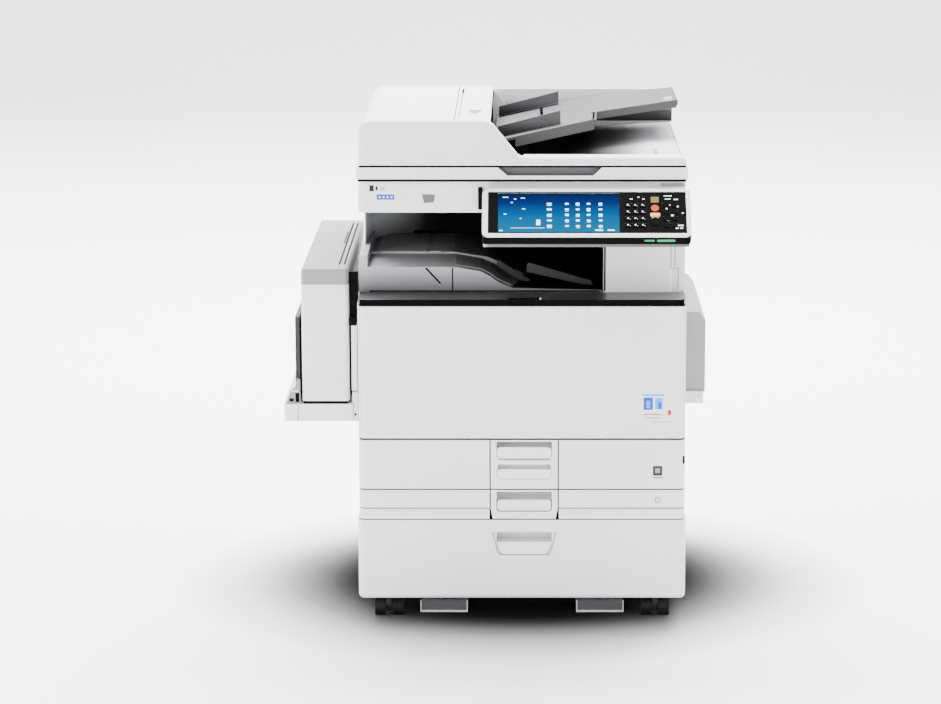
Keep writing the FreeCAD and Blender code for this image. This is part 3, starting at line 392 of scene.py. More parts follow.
def paint_nodes():
    """Gives the panel's sunk face its black, and paints shade on the bay, the ledge's front and the feeder's
    hollows, back wall and hinge lugs.
    """
    slope_normal = Vector((0, -math.sin(FACE_SLOPE), math.cos(FACE_SLOPE)))

    def on_sunk_face(centre, normal):
        out = (centre - Vector((0, -100, PANEL_FOOT_Z))).dot(slope_normal)
        return normal.dot(slope_normal) > 0.9 and out < 2.2

    def on_column(centre, normal):
        return (abs(centre.x - 147) < 4 and centre.y > 80) or (centre.x < 147 and abs(centre.y - 430) < 3)

    def on_back_wall(centre, normal):
        return normal.y < -0.9 and centre.x > -54 and 498 < centre.y < 500 and centre.z > RIM

    def on_hinge_lug(centre, normal):
        beside = -4 < centre.x < 13 and RIM - 16 < centre.z < RIM + 26
        return beside and (97 < centre.y < 106 or 485 < centre.y < 494)

    paint("panel_bezel", FACE, on_sunk_face)
    # Painted shade: the scanner's underside over the bay is made near-black.
    paint("scanner_housing", LINING_AND_SHADE, lambda c, n: n.z < -0.8 and c.z < BAY_TOP + 1)
    # Painted shade: the exit unit cover's faces along the bay's right side and back are near-black.
    paint("exit_unit_cover", LINING_AND_SHADE, on_column)
    # Painted shade: the bay floor's tone runs from lighter at the front and left to dark at the back and
    # right.
    paint("output_tray", BAY_FLOOR, lambda c, n: n.z > 0.3 and c.x > -279)
    # Painted shade: the right half of the bay floor's top is near-black.
    paint("output_tray", LINING_AND_SHADE, lambda c, n: n.z > 0.9 and c.x > 0)
    # Painted shade on the ledge's front faces.
    paint("front_ledge", LEDGE_FRONT, lambda c, n: n.y < -0.5)
    for look, across, along, up in (
        # Painted shade in the feeder's grip recess.
        (SLOPE, (-43, 142), (-5.5, 12), (RIM - 34, RIM - 18.6)),
        # Painted shadow under the originals tray on the exit tray's floor.
        (EXIT_FLOOR, (-60, 285), (15, 494), (0, RIM - 15)),
        # Painted shade on the faces between the hump and the originals tray.
        (LINING_AND_SHADE, (-113, -54), (12, 494), (RIM - 17, FEED_TOP - 10)),
    ):
        paint("feeder_body", look, within(across, along, up))
    # Painted shade on the wall behind the exit tray.
    paint("feeder_body", BACK_WALL, on_back_wall)
    # Painted shade: the hinge lugs under the originals tray are made near-black.
    paint("feeder_body", LINING_AND_SHADE, on_hinge_lug)


# ---- mesh tools --------------------------------------------------------------------------------

def piece_from(mesh, name, body, look, bevel=0.0, segments=2, smooth=True):
    """Turns a bmesh into a piece that rides on a body."""
    bmesh.ops.recalc_face_normals(mesh, faces=mesh.faces)
    data = bpy.data.meshes.new(name)
    mesh.to_mesh(data)
    mesh.free()
    data.materials.append(look)
    for polygon in data.polygons:
        polygon.use_smooth = smooth
    piece = bpy.data.objects.new(name, data)
    bpy.context.scene.collection.objects.link(piece)
    if bevel:
        rounding = piece.modifiers.new("edge_round", "BEVEL")
        rounding.width = bevel * MM
        rounding.segments = segments
        rounding.limit_method = "ANGLE"
        rounding.angle_limit = math.radians(35)
        rounding.harden_normals = True
    elif smooth:
        data.set_sharp_from_angle(angle=math.radians(35))
    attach(piece, body)
    return piece


def add_prism(mesh, outline, depth, place=Matrix()):
    """Adds a flat outline (x, y in mm) pushed depth mm along z, carried by a matrix in metres."""
    low = [mesh.verts.new(place @ Vector((x * MM, y * MM, 0.0))) for x, y in outline]
    high = [mesh.verts.new(place @ Vector((x * MM, y * MM, depth * MM))) for x, y in outline]
    mesh.faces.new(list(reversed(low)))
    mesh.faces.new(high)
    for i in range(len(low)):
        j = (i + 1) % len(low)
        mesh.faces.new((low[i], low[j], high[j], high[i]))


def rounded(x0, x1, y0, y1, radius, steps=5):
    """A rectangle with round corners as a list of points."""
    points = []
    for cx, cy, start in (
        (x1 - radius, y1 - radius, 0), (x0 + radius, y1 - radius, 90),
        (x0 + radius, y0 + radius, 180), (x1 - radius, y0 + radius, 270),
    ):
        for step in range(steps + 1):
            angle = math.radians(start + 90 * step / steps)
            points.append((cx + radius * math.cos(angle), cy + radius * math.sin(angle)))
    return points


def front_plane(y):
    """Outlines drawn as (x, z) on an upright plane at y; depth runs forward."""
    base = Matrix.Translation(at(0, y, 0))
    return base @ Matrix.Rotation(math.radians(90), 4, "X")


def flat_plane(z):
    """Outlines drawn as (x, y) on a level plane at z; depth runs up."""
    return Matrix.Translation(at(0, 0, z))


def side_plane(x):
    """Outlines drawn as (y, z) on an upright plane at x; depth runs to the right."""
    turn = Matrix(((0, 0, 1, 0), (1, 0, 0, 0), (0, 1, 0, 0), (0, 0, 0, 1)))
    return Matrix.Translation(at(x, 0, 0)) @ turn


FACE_FOOT = at(0, -100, PANEL_FOOT_Z)


def panel_plane(out):
    """Outlines drawn as (x, up the face) on the control panel; depth runs out of the face."""
    lift = Matrix.Translation((0, 0, out * MM))
    return Matrix.Translation(FACE_FOOT) @ Matrix.Rotation(FACE_SLOPE, 4, "X") @ lift


def plates(name, body, look, plane, depth, outlines, bevel=0.3):
    """One piece made of several thin plates on the same plane."""
    mesh = bmesh.new()
    for outline in outlines:
        add_prism(mesh, outline, depth, plane)
    return piece_from(mesh, name, body, look, bevel)


def box_outline(x0, x1, y0, y1):
    return [(x0, y0), (x1, y0), (x1, y1), (x0, y1)]


# ---- control panel -----------------------------------------------------------------------------

SCREEN = (-43.0, 172.0, 10.0, 98.0)
ICON_COLUMNS = (48.0, 79.0, 98.0, 117.0, 138.0)


def screen_marks():
    """Generic tiles, lists and a tool bar on the touch screen."""
    left, right, low, high = SCREEN
    tiles = []
    for column, x in enumerate(ICON_COLUMNS):
        for row in range(5):
            up = 24 + row * 12.5
            wide = 6.6 if column else 8.5
            tall = 3.6 if (row + column) % 3 else 4.6
            tiles.append(rounded(x - wide / 2, x + wide / 2, up - tall / 2, up + tall / 2, 1.2, 3))
            if row % 2 == column % 2:
                tiles.append(box_outline(x - wide / 2, x + wide / 2, up - 4.2, up - 3.4))
    tiles.append(rounded(25, 32, 26, 38, 1.0, 3))
    words = ((-34, 88, 12), (-14, 84, 5), (-2, 86, 9), (-20, 76, 5), (0, 62, 7), (-32, 50, 6), (-4, 40, 4))
    for x, up, wide in words:
        tiles.append(box_outline(x, x + wide * 0.8, up, up + 1.6))
    tiles.append(box_outline(left + 3, left + 9, 13, 15))
    tiles.append(box_outline(-20, 40, 19.5, 20.1))
    tiles.append(box_outline(128, 142, 13.5, 16))
    tiles.append(box_outline(150, 162, 13.5, 16))
    plates("screen_icons", "control_panel", ICON, panel_plane(1.7), 0.25, tiles, 0.0)
    window = [rounded(left + 1, right - 1, low + 1, high - 1, 1.5, 3)]
    plates("screen_image", "control_panel", DISPLAY, panel_plane(1.0), 0.7, window, 0.2)


def face_marks():
    """Dark face round the screen, key caps and their printed marks, and the status light."""
    face = [
        rounded(-59, -44, 8, 100, 4, 3), rounded(173, 288, 8, 13, 2, 3), rounded(173, 288, 95, 100, 2, 3),
        box_outline(173, 180, 13, 95), box_outline(218, 224, 13, 95), box_outline(244, 247.5, 13, 95),
        box_outline(276, 288, 13, 95), box_outline(224, 244, 74, 95), box_outline(224, 244, 13, 22),
        box_outline(224, 244, 46, 54), box_outline(180, 218, 78, 95), box_outline(247.5, 276, 78, 95),
    ]
    plates("panel_face", "control_panel", FACE, panel_plane(1.45), 0.25, face, 0.0)
    marks = []
    for row in range(4):
        for column in range(3):
            x = 186 + 13 * column
            up = 26 + 15 * row
            marks.append(rounded(x - 1.3, x + 1.3, up - 1.2, up + 1.4, 0.4, 2))
            marks.append(box_outline(x + 2.8, x + 4.0, up - 2.6, up - 1.8))
    key_marks = len(marks)
    for x, up, wide in ((190, 84, 5), (204, 88, 3), (212, 84, 4), (250, 91, 14), (252, 84, 10), (267, 83, 8)):
        marks.append(box_outline(x, x + wide, up, up + 2))
    for x, up, wide in ((270, 24, 13), (269, 18, 5), (277, 18, 5), (281, 52, 3), (253, 70, 8), (253, 62, 3)):
        marks.append(box_outline(x, x + wide, up, up + 2.6))
    for x, up in ((254, 52), (262, 46), (271, 66), (254, 36)):
        marks.append(rounded(x, x + 4.5, up, up + 4, 1.2, 3))
    plates("key_marks", "number_keys", PRINT, panel_plane(2.72), 0.15, marks[:key_marks], 0.0)
    plates("face_print", "control_panel", PRINT, panel_plane(1.72), 0.12, marks[key_marks:], 0.0)
    cream = [rounded(225.5, 242.5, 45.5, 53.5, 1, 3), rounded(228, 240, 40, 44, 1, 3)]
    plates("start_area", "control_panel", CREAM_PRINT, panel_plane(1.72), 0.2, cream, 0.1)
    amber = [rounded(227, 241, 77, 90, 1, 3)]
    plates("status_area", "control_panel", AMBER_PRINT, panel_plane(1.72), 0.2, amber, 0.1)
    lamp = [rounded(214, 232, 3, 6, 1.2, 3), rounded(236, 268, 2.4, 6.4, 1.6, 3)]
    place = Matrix.Translation(at(0, -101.2, PANEL_FOOT_Z - 10)) @ Matrix.Rotation(math.radians(90), 4, "X")
    plates("ready_light", "control_panel", GREEN_LIGHT, place, 0.5, lamp, 0.2)


def panel_underside():
    """Dark band under the bezel's front edge and the pale tray-shaped housing below it, whose dark grey is
    painted shade except at its lighter left end.
    """
    band = [(-100.6, -0.8), (-101, -10), (-96, -12), (-80, -12), (-80, 0)]
    skirt = [(-97.5, -12), (-97, -16.5), (-93, -18.5), (-70, -15), (-40, 10), (-40, 18), (-78, -12)]
    for name, look, outline, left, right in (
        # The skirt's dark grey is painted shade.
        ("panel_band", BAND, band, -68, 295), ("panel_skirt", SKIRT, skirt, -68, 293),
    ):
        mesh = bmesh.new()
        raised = [(y, PANEL_FOOT_Z + z) for y, z in outline]
        add_prism(mesh, raised, right - left, side_plane(left))
        piece_from(mesh, name, "control_panel", look, 1.6, 3)


# ---- scanner and output bay --------------------------------------------------------------------

def scanner_marks():
    """Grey window, generic badge and label, dark cover of the panel's arm, and the strip over the panel."""
    top = SCAN_TOP
    window = [[(-174, top - 39), (-157, top - 38), (-154, top - 24), (-178, top - 23)]]
    plates("scanner_window", "chassis", SLOPE, front_plane(0.0), 0.8, window, 0.5)
    badge = [box_outline(-271, -263, top - 18, top - 7), box_outline(-260, -256, top - 16, top - 9)]
    badge += [box_outline(x, x + 1.6, top - 17, top - 10) for x in (-251, -246)]
    plates("scanner_badge", "chassis", DARK_PRINT, front_plane(0.0), 0.25, badge, 0.0)
    label = [rounded(-258, -227, top - 33, top - 23.5, 1, 3)]
    plates("scanner_label", "chassis", BLUE_PRINT, front_plane(0.0), 0.3, label, 0.1)
    letters = [rounded(x, x + 3.4, top - 30, top - 26.5, 0.8, 3) for x in (-254.5, -247.5, -240.5, -233.5)]
    plates("scanner_letters", "chassis", PRINT, front_plane(-0.3), 0.12, letters, 0.0)
    panel_left = (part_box("panel_housing")[0].x - MIDDLE_X) / MM
    cap = [box_outline(panel_left - 9, panel_left - 1, top - 50, top - 10)]
    plates("panel_arm_cover", "chassis", LINING_AND_SHADE, front_plane(0.5), 6.5, cap, 1.0)
    strip = [box_outline(-58, 246, top - 9, top - 3)]
    plates("scanner_strip", "chassis", PALE, front_plane(0.2), 2.0, strip, 0.5)
    strip = [box_outline(247, 289, top - 9, top - 3)]
    plates("scanner_strip_end", "chassis", GREY, front_plane(0.2), 2.2, strip, 0.5)


def bay_lining():
    """Curved wall round the back of the output bay and the dark joint at its foot."""
    floor = DECK + 50
    mesh = bmesh.new()
    arc = [(-291, 200), (-289, 300), (-284, 350), (-273, 390), (-256, 415), (-232, 426), (-180, 428)]
    arc.append((146.5, 428))
    inner = [(x + (1.5 if x < -200 else 0), y - 1.5) for x, y in arc]
    add_prism(mesh, arc + list(reversed(inner)), BAY_TOP - floor - 1, flat_plane(floor))
    # The wall's light left end and its dark right end and foot are painted light and shade.
    piece_from(mesh, "bay_back_wall", "chassis", BAY_WALL, 0.0)
    joint = [box_outline(-279, -130, floor + 0.1, floor + 6)]
    plates("bay_joint", "chassis", LINING_AND_SHADE, front_plane(426.2), 0.8, joint, 0.0)
    pan = [box_outline(-268, -175, 222, 414)]
    plates("bay_pan", "chassis", GREY, flat_plane(floor), 0.5, pan, 0.0)
    rim = [box_outline(-262, -178, floor - 2.5, floor + 0.2)]
    plates("bay_pan_rim", "chassis", PALE, front_plane(216), 0.8, rim, 0.2)
    tab = [[(-172, floor - 2), (-150, floor - 1), (-150, floor + 1.5), (-170, floor + 1.5)]]
    plates("bay_tab", "chassis", PALE, front_plane(215), 2.0, tab, 0.4)


def bay_guides():
    """Sheet guides in the output bay, the seam and the slanted slit."""
    arm = [(9, 44), (14, 46), (126, 13), (131, 6), (127, 4.5), (112, 5), (8, 28)]
    ridge = [(-46, 44), (-42, 46.5), (16, 9), (12, 5), (-8, 9), (-46, 34)]
    for name, y, deep, outline in (("bay_arm", 130, 8, arm), ("bay_ridge", 152, 5, ridge)):
        raised = [(x, DECK + z) for x, z in outline]
        plates(name, "chassis", CHARCOAL, front_plane(y), deep, [raised], 1.4)
    edge = [(-121, 47.2), (-74, 39.2), (-58, 31.2), (-43, 20.2), (-21, 10.2)]
    back = [(x - 1, z - 1.8) for x, z in reversed(edge)]
    raised = [(x, DECK + z) for x, z in edge + back]
    plates("bay_edge", "chassis", GREY, front_plane(100), 1.5, [raised], 0.0)
    seam = [box_outline(-126.8, -124.6, DECK + 1, DECK + 45)]
    plates("tray_seam", "chassis", LINING_AND_SHADE, front_plane(75.4), 0.3, seam, 0.0)
    slit = [[(-176, DECK + 44), (-172.5, DECK + 45), (-146, DECK + 16), (-149, DECK + 15)]]
    plates("tray_slit", "chassis", LINING_AND_SHADE, front_plane(75.4), 0.3, slit, 0.0)
    foot = [box_outline(-276, 140, DECK + 0.3, DECK + 3)]
    plates("tray_foot_shadow_gap", "chassis", LINING_AND_SHADE, front_plane(75.4), 0.3, foot, 0.0)


# ---- document feeder ---------------------------------------------------------------------------

TRAY_LEFT = 4.0
TRAY_START = -46.0
TRAY_KNEE = 130.0
TRAY_END = 286.0
TRAY_REAR = 484.0
NOTCH_Y = 199.0
NOTCH_END_Y = 268.0
RAIL_Y = 96.5


def tray_height(x):
    """Top of the original tray at a place across the machine."""
    steep = min(x, TRAY_KNEE) - TRAY_LEFT
    gentle = max(x, TRAY_KNEE) - TRAY_KNEE
    return RIM + 25 + 0.22 * steep + 0.088 * gentle


def beam(mesh, start, end, drop, rise, thick):
    """Adds an upright strip between two places (x, y), following the tray's height."""
    (x0, y0), (x1, y1) = start, end
    across = Vector((y1 - y0, x0 - x1, 0)).normalized() * thick
    corners = []
    for x, y, z in ((x0, y0, tray_height(x0)), (x1, y1, tray_height(x1))):
        for up in (-drop, rise):
            for side in (0, 1):
                offset = across * side
                corners.append(mesh.verts.new(at(x + offset.x, y + offset.y, z + up)))
    for face in ((0, 1, 3, 2), (4, 6, 7, 5), (0, 4, 5, 1), (2, 3, 7, 6), (0, 2, 6, 4), (1, 5, 7, 3)):
        mesh.faces.new([corners[i] for i in face])


def feeder_details():
    """Rails under the originals tray, the exit tray's ramp and stops, the feeder's seams and its latch."""
    mesh = bmesh.new()
    clear_of_throat = TRAY_LEFT - 16
    beam(mesh, (TRAY_START, RAIL_Y), (clear_of_throat, RAIL_Y), 3, 2.5, 3)
    beam(mesh, (clear_of_throat, RAIL_Y), (TRAY_KNEE, RAIL_Y), 17, 2.5, 3)
    beam(mesh, (TRAY_KNEE - 4, NOTCH_Y), (TRAY_END, NOTCH_END_Y), 12, 2.5, 3)
    beam(mesh, (TRAY_KNEE, RAIL_Y - 3), (TRAY_KNEE + 4, NOTCH_Y), 10, 1.5, 3)
    beam(mesh, (TRAY_END, NOTCH_END_Y), (TRAY_END, TRAY_REAR), 8, 1.5, 3)
    piece_from(mesh, "tray_rails", "original_tray", TRAY_GREY, 1.0, 3)
    mesh = bmesh.new()
    beam(mesh, (262, 262), (276, 267), -1, 9, 5)
    piece_from(mesh, "tray_stop", "original_tray", WHITE, 1.0, 3)
    ramp_side = [(22, RIM - 15.8), (283, RIM - 15.8), (283, RIM - 1), (230, RIM - 3), (90, RIM - 13)]
    # The exit ramp carries the same painted shadow, near black at the left.
    plates("exit_ramp", "feeder", EXIT_FLOOR, front_plane(488), 456, [ramp_side], 0.8)
    plates("exit_stop", "feeder", WHITE, flat_plane(RIM - 2), 9, [rounded(236, 242, 60, 100, 2, 3)], 0.8)
    seam = [box_outline(-290, 291, FEED_SEAM, FEED_SEAM + 3.2)]
    plates("feeder_seam", "feeder", LINING_AND_SHADE, front_plane(-0.9), 0.4, seam, 0.0)
    seam = [box_outline(-291, 291, SCAN_TOP + 0.2, SCAN_TOP + 4.4)]
    plates("feeder_gap", "feeder", LINING_AND_SHADE, front_plane(-5.8), 0.5, seam, 0.0)
    clip = [rounded(-93, -77, 96, 120, 2, 3), rounded(-90, -80, 128, 144, 2, 3)]
    plates("hump_latch", "feeder", GREY, flat_plane(FEED_TOP - 4), 2.4, clip, 0.6)
    line = [box_outline(-113, -111.6, 24, 470), rounded(-114, -110, 400, 468, 1.5, 3)]
    plates("hump_seam", "feeder", LINING_AND_SHADE, flat_plane(FEED_TOP - 0.1), 0.25, line, 0.0)


# ---- fronts ------------------------------------------------------------------------------------

GRIP_X = 4.0
BODY_HALF = (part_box("front_cover")[1].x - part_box("front_cover")[0].x) / 2 / MM


def band(outer, inner):
    """An open line of some width: a path and its way back."""
    return outer + list(reversed(inner))


def cup_path(left, right, low, high, radius, steps=5):
    """Down one side, round the two lower corners and up the other side."""
    points = [(left, high)]
    for centre, start in ((left + radius, 180), (right - radius, 270)):
        for step in range(steps + 1):
            angle = math.radians(start + 90 * step / steps)
            points.append((centre + radius * math.cos(angle), low + radius + radius * math.sin(angle)))
    points.append((right, high))
    return points


def cup_line(low, high, wide):
    """The rounded outline under a handle's lip."""
    left, right = GRIP_X - 50.5, GRIP_X + 50.5
    outer = cup_path(left, right, low, high, 8)
    inner = cup_path(left + wide, right - wide, low + wide, high, 8 - wide)
    return band(outer, inner)


def seals():
    """Dark seals in the gaps over each front, and the seams beside the handle column."""
    edge = BODY_HALF - 1.2
    whole = [rounded(-edge, edge, 1.2, 18, 8)]
    for name, body, low, deep in (
        ("tray_3_seal", "tray_3", TRAY_3_TOP, 1.85), ("tray_2_seal", "tray_2", TRAY_2_TOP, 1.85),
        ("tray_1_seal", "tray_1", TRAY_1_TOP, 2.3), ("front_cover_seal", "front_cover", DOOR_TOP, 1.7),
    ):
        plates(name, body, LINING_AND_SHADE, flat_plane(low + 0.08), deep, whole, 0.0)
    sides = [rounded(-edge, GRIP_X - 64, 1.2, 18, 8), rounded(GRIP_X + 64, edge, 1.2, 18, 8)]
    plates("trim_seal", "chassis", LINING_AND_SHADE, flat_plane(TRAY_3_TOP + 21.08), 1.8, sides, 0.0)
    ends = (GRIP_X - 62.8, GRIP_X + 60.6)
    seams = [box_outline(x, x + 2.2, TRAY_2_TOP + 2.2, TRAY_1_TOP - 0.5) for x in ends]
    plates("column_seams_1", "tray_1", LINING_AND_SHADE, front_plane(0.05), 0.25, seams, 0.0)
    seams = [box_outline(x, x + 2.2, TRAY_3_TOP + 23, TRAY_2_TOP - 0.5) for x in ends]
    plates("column_seams_2", "tray_2", LINING_AND_SHADE, front_plane(0.05), 0.25, seams, 0.0)


def handles():
    """Rounded lips of the finger recesses and the lines round them."""
    for name, body, low, high, look, wide in (
        ("tray_1", "tray_1", TRAY_1_TOP - 33, TRAY_1_TOP - 13, GREY, 1.0),
        ("tray_1_lower", "tray_1", TRAY_1_TOP - 72, TRAY_1_TOP - 54, GREY, 1.0),
        ("tray_2", "tray_2", TRAY_2_TOP - 39, TRAY_2_TOP - 18, DARK_PRINT, 1.6),
    ):
        lip = rounded(GRIP_X - 49.6, GRIP_X + 49.6, low, high, 7)
        plates(name + "_lip", body, WHITE, front_plane(3.5), 4.2, [lip], 2.0)
        line = [cup_line(low - 1.4, high, wide)]
        plates(name + "_lip_line", body, look, front_plane(0.05), 0.3, line, 0.0)
    under = [box_outline(GRIP_X - 47, GRIP_X + 48, TRAY_1_TOP - 37.2, TRAY_1_TOP - 35.6)]
    plates("tray_1_lip_shade", "tray_1", LINING_AND_SHADE, front_plane(0.05), 0.25, under, 0.0)
    high, low = TRAY_3_TOP - 23, TRAY_3_TOP - 65.8
    dish = [(-40, low), (40, low), (51, TRAY_3_TOP - 42), (-51, TRAY_3_TOP - 42)]
    dish = [(GRIP_X + x, z) for x, z in dish]
    plates("tray_3_lip", "tray_3", WHITE, front_plane(4.5), 3.4, [dish], 1.2)
    outer = [(-59.2, high), (-48.6, low + 4), (-45, low), (-42, low - 1), (42, low - 1), (45, low)]
    outer += [(48.6, low + 4), (59.2, high)]
    inner = [(-57.4, high), (-47, low + 4.6), (-44.3, low + 1.9), (-41.6, low + 1), (41.6, low + 1)]
    inner += [(44.3, low + 1.9), (47, low + 4.6), (57.4, high)]
    line = [(GRIP_X + x, z) for x, z in band(outer, inner)]
    plates("tray_3_lip_line", "tray_3", GREY, front_plane(0.05), 0.3, [line], 0.0)
    arch = band(
        [(-57, high), (-30, high + 1.5), (0, high + 3), (30, high + 1.5), (57, high)],
        [(-57, high - 1), (-30, high + 0.4), (0, high + 1.9), (30, high + 0.4), (57, high - 1)],
    )
    arch = [(GRIP_X + x, z) for x, z in arch]
    plates("tray_3_arch", "tray_3", PALE, front_plane(0.05), 0.25, [arch], 0.0)


def sticker():
    """Generic sticker on the front cover: two plain panels and some lines."""
    low = TRAY_1_TOP + 32
    shown = front_plane(0.0)
    raised = front_plane(-0.12)
    card = [rounded(217, 256, low + 21, low + 53, 1, 3)]
    plates("sticker_card", "front_cover", PRINT, shown, 0.12, card, 0.0)
    sky = [box_outline(217, 256, low + 49.5, low + 53), box_outline(240, 254, low + 25, low + 46)]
    plates("sticker_sky", "front_cover", SKY_PRINT, raised, 0.1, sky, 0.0)
    blue = [box_outline(219, 236, low + 24, low + 47), box_outline(246, 251, low + 26, low + 38)]
    plates("sticker_blue", "front_cover", BLUE_PRINT, front_plane(-0.24), 0.1, blue, 0.0)
    pale = [rounded(224, 231, low + 27, low + 41, 2, 3)]
    plates("sticker_pale", "front_cover", SKY_PRINT, front_plane(-0.36), 0.1, pale, 0.0)
    red = [box_outline(219, 250, low + 14.5, low + 16.2), rounded(263, 269, low + 14, low + 24, 2, 3)]
    plates("sticker_red", "front_cover", RED_PRINT, shown, 0.12, red, 0.0)
    dark = [box_outline(221, 252, low + 8.6, low + 9.8), box_outline(236, 268, low + 1.2, low + 2.2)]
    plates("sticker_lines", "front_cover", DARK_PRINT, shown, 0.1, dark, 0.0)


def front_marks():
    """Paper gauges on the trays, the side mark, the ledge's catch and painted highlights on the feet's edges.
    """
    shown = front_plane(0.0)
    low = TRAY_2_TOP + 27
    plates("tray_1_gauge", "tray_1", CHARCOAL, shown, 0.5, [rounded(237, 254, low, low + 18, 1.2, 3)], 0.2)
    core = [rounded(241, 250, low + 5, low + 14, 1, 3)]
    plates("tray_1_gauge_core", "tray_1", GREY, front_plane(-0.5), 0.15, core, 0.0)
    line = [box_outline(237, 254, low - 4.4, low - 2.8)]
    plates("tray_1_gauge_line", "tray_1", DARK_PRINT, shown, 0.3, line, 0.0)
    low = TRAY_2_TOP - 24
    plates("tray_2_gauge", "tray_2", GREY, shown, 0.3, [rounded(241, 251, low, low + 10, 2, 3)], 0.1)
    core = [rounded(243.4, 249.4, low + 2, low + 8, 1, 3)]
    plates("tray_2_gauge_core", "tray_2", WHITE, front_plane(-0.3), 0.15, core, 0.0)
    mark = [rounded(1.5, 9, TRAY_1_TOP - 45, TRAY_1_TOP - 30, 3.4, 4)]
    plates("tray_1_side_mark", "tray_1", LINING_AND_SHADE, side_plane(BODY_HALF - 3.2), 3.9, mark, 0.4)
    plates("ledge_recess", "chassis", LINING_AND_SHADE, flat_plane(DECK), 0.25, [box_outline(-25, 36, 3, 17)], 0.0)
    plates("ledge_catch", "chassis", BRIGHT, flat_plane(DECK), 1.2, [rounded(31.5, 34.5, 2, 16, 1, 3)], 0.3)
    # Painted highlight: bright strips along the front lips and sides of the feet.
    feet = [box_outline(middle - 44, middle + 44, 0.4, 4.2) for middle in (-145, 145)]
    feet += [box_outline(x, x + 2, 4, 23) for x in (-189, -103, 101, 187)]
    plates("feet_edges", "chassis", BRIGHT, front_plane(95.1), 0.7, feet, 0.2)


# ---- side unit and exit unit -------------------------------------------------------------------

SIDE_TOP = level("side_unit_lid", 1)
SHELF_LOW = level("side_unit_base", 0)
SHELF_TOP = SHELF_LOW + 32


def side_unit_details():
    """Dark vents, the dock's catch and bracket, and the feed opening's edges."""
    vents = [box_outline(-334.6, -330, 102, 470), box_outline(-325.6, -321, 102, 566)]
    plates("side_vents", "chassis", LINING_AND_SHADE, flat_plane(SIDE_TOP - 1), 0.8, vents, 0.0)
    pulls = [rounded(-338.5, -334.8, 330, 460, 1.6, 3)]
    plates("side_vent_pull", "chassis", CHARCOAL, flat_plane(SIDE_TOP), 1.4, pulls, 0.5)
    front = front_plane(76)
    low = SHELF_TOP + 147
    gap = [box_outline(-313.2, -297, low + 14, SIDE_TOP - 8)]
    plates("dock_gap", "chassis", LINING_AND_SHADE, front, 3, gap, 0.0)
    plates("dock_catch", "chassis", LINING_AND_SHADE, front, 14, [rounded(-313, -300, low, low + 14, 1.5, 3)], 0.6)
    strip = [box_outline(-310, -299.5, SHELF_TOP + 24, low - 2)]
    plates("dock_strip", "chassis", WHITE, front, 12, strip, 1.0)
    slot = [box_outline(-313, -310.6, SHELF_TOP + 24, low - 2)]
    plates("dock_slot", "chassis", LINING_AND_SHADE, front, 6, slot, 0.0)
    foot = [(-306.5, SHELF_LOW), (-298.5, SHELF_LOW - 2), (-298.5, SHELF_TOP + 22), (-309, SHELF_TOP + 22)]
    foot += [(-309, SHELF_TOP + 2), (-306.5, SHELF_TOP + 2)]
    plates("dock_bracket", "chassis", WHITE, front, 14, [foot], 1.0)
    hole = [[(-305.5, SHELF_LOW + 9), (-300.5, SHELF_LOW + 12.5), (-305.5, SHELF_LOW + 16)]]
    plates("dock_bracket_hole", "chassis", LINING_AND_SHADE, front_plane(62), 0.3, hole, 0.0)
    seam = [box_outline(-409, -407.4, SHELF_LOW + 1, SHELF_TOP - 0.5)]
    plates("shelf_seam", "chassis", GREY, front_plane(60), 0.2, seam, 0.0)
    shade_line = [box_outline(-398, -318, SHELF_TOP + 0.1, SHELF_TOP + 5.6)]
    plates("shelf_gap", "chassis", LINING_AND_SHADE, front_plane(70), 6, shade_line, 0.0)
    opening = [box_outline(84, 586, SHELF_TOP + 24, SHELF_TOP + 158)]
    plates("feed_opening", "chassis", LINING_AND_SHADE, side_plane(-403.4), 3, opening, 0.0)
    bracket = [(-431, SHELF_TOP), (-404, SHELF_TOP), (-404, SHELF_TOP + 44), (-409, SHELF_TOP + 47)]
    bracket += [(-414, SHELF_TOP + 30), (-422, SHELF_TOP + 24), (-428, SHELF_TOP + 6)]
    plates("feed_bracket", "chassis", GREY, front_plane(69), 5, [bracket], 0.8)
    marks = [box_outline(-424, -416, SHELF_TOP + 4, SHELF_TOP + 10)]
    marks.append(box_outline(-413, -406, SHELF_TOP + 3, SHELF_TOP + 20))
    plates("feed_bracket_slots", "chassis", LINING_AND_SHADE, front_plane(64), 0.3, marks, 0.0)
    glint = [box_outline(-420, -408, SHELF_TOP + 22.5, SHELF_TOP + 25)]
    plates("feed_bracket_edge", "chassis", BRIGHT, front_plane(64), 0.8, glint, 0.2)


def exit_unit_marks():
    """Dark edge and seams of the exit unit at the right of the bay."""
    seams = [box_outline(269.2, 270.5, DECK + 42, DECK + 150)]
    seams.append(box_outline(148, 152, DECK + 2, BAY_TOP - 2))
    plates("exit_seam", "chassis", CHARCOAL, front_plane(75.6), 0.25, seams, 0.0)
    low = DECK + 40.6
    steps = [box_outline(272, 283, low, low + 1.3), box_outline(277, 278.4, low + 5, low + 44)]
    steps.append(box_outline(283, 284.3, low - 38, low + 1.3))
    plates("exit_steps", "chassis", CHARCOAL, front_plane(91.6), 0.25, steps, 0.0)


# ---- stage -------------------------------------------------------------------------------------

SHADE_MIDDLE = (0, 330, 0)
SHADE_WIDE = 702.0
SHADE_DEEP = 585.0
SHADE_STOPS = (
    (0.33, 0.004), (0.46, 0.015), (0.51, 0.05), (0.56, 0.11), (0.63, 0.22), (0.77, 0.6), (0.97, 1.0),
)
FLOOR_HALF = 12.0
SWEEP_START = 7.6
SWEEP_RADIUS = 2.2
SWEEP_STEPS = 8
SWEEP_HIGH = 9.0


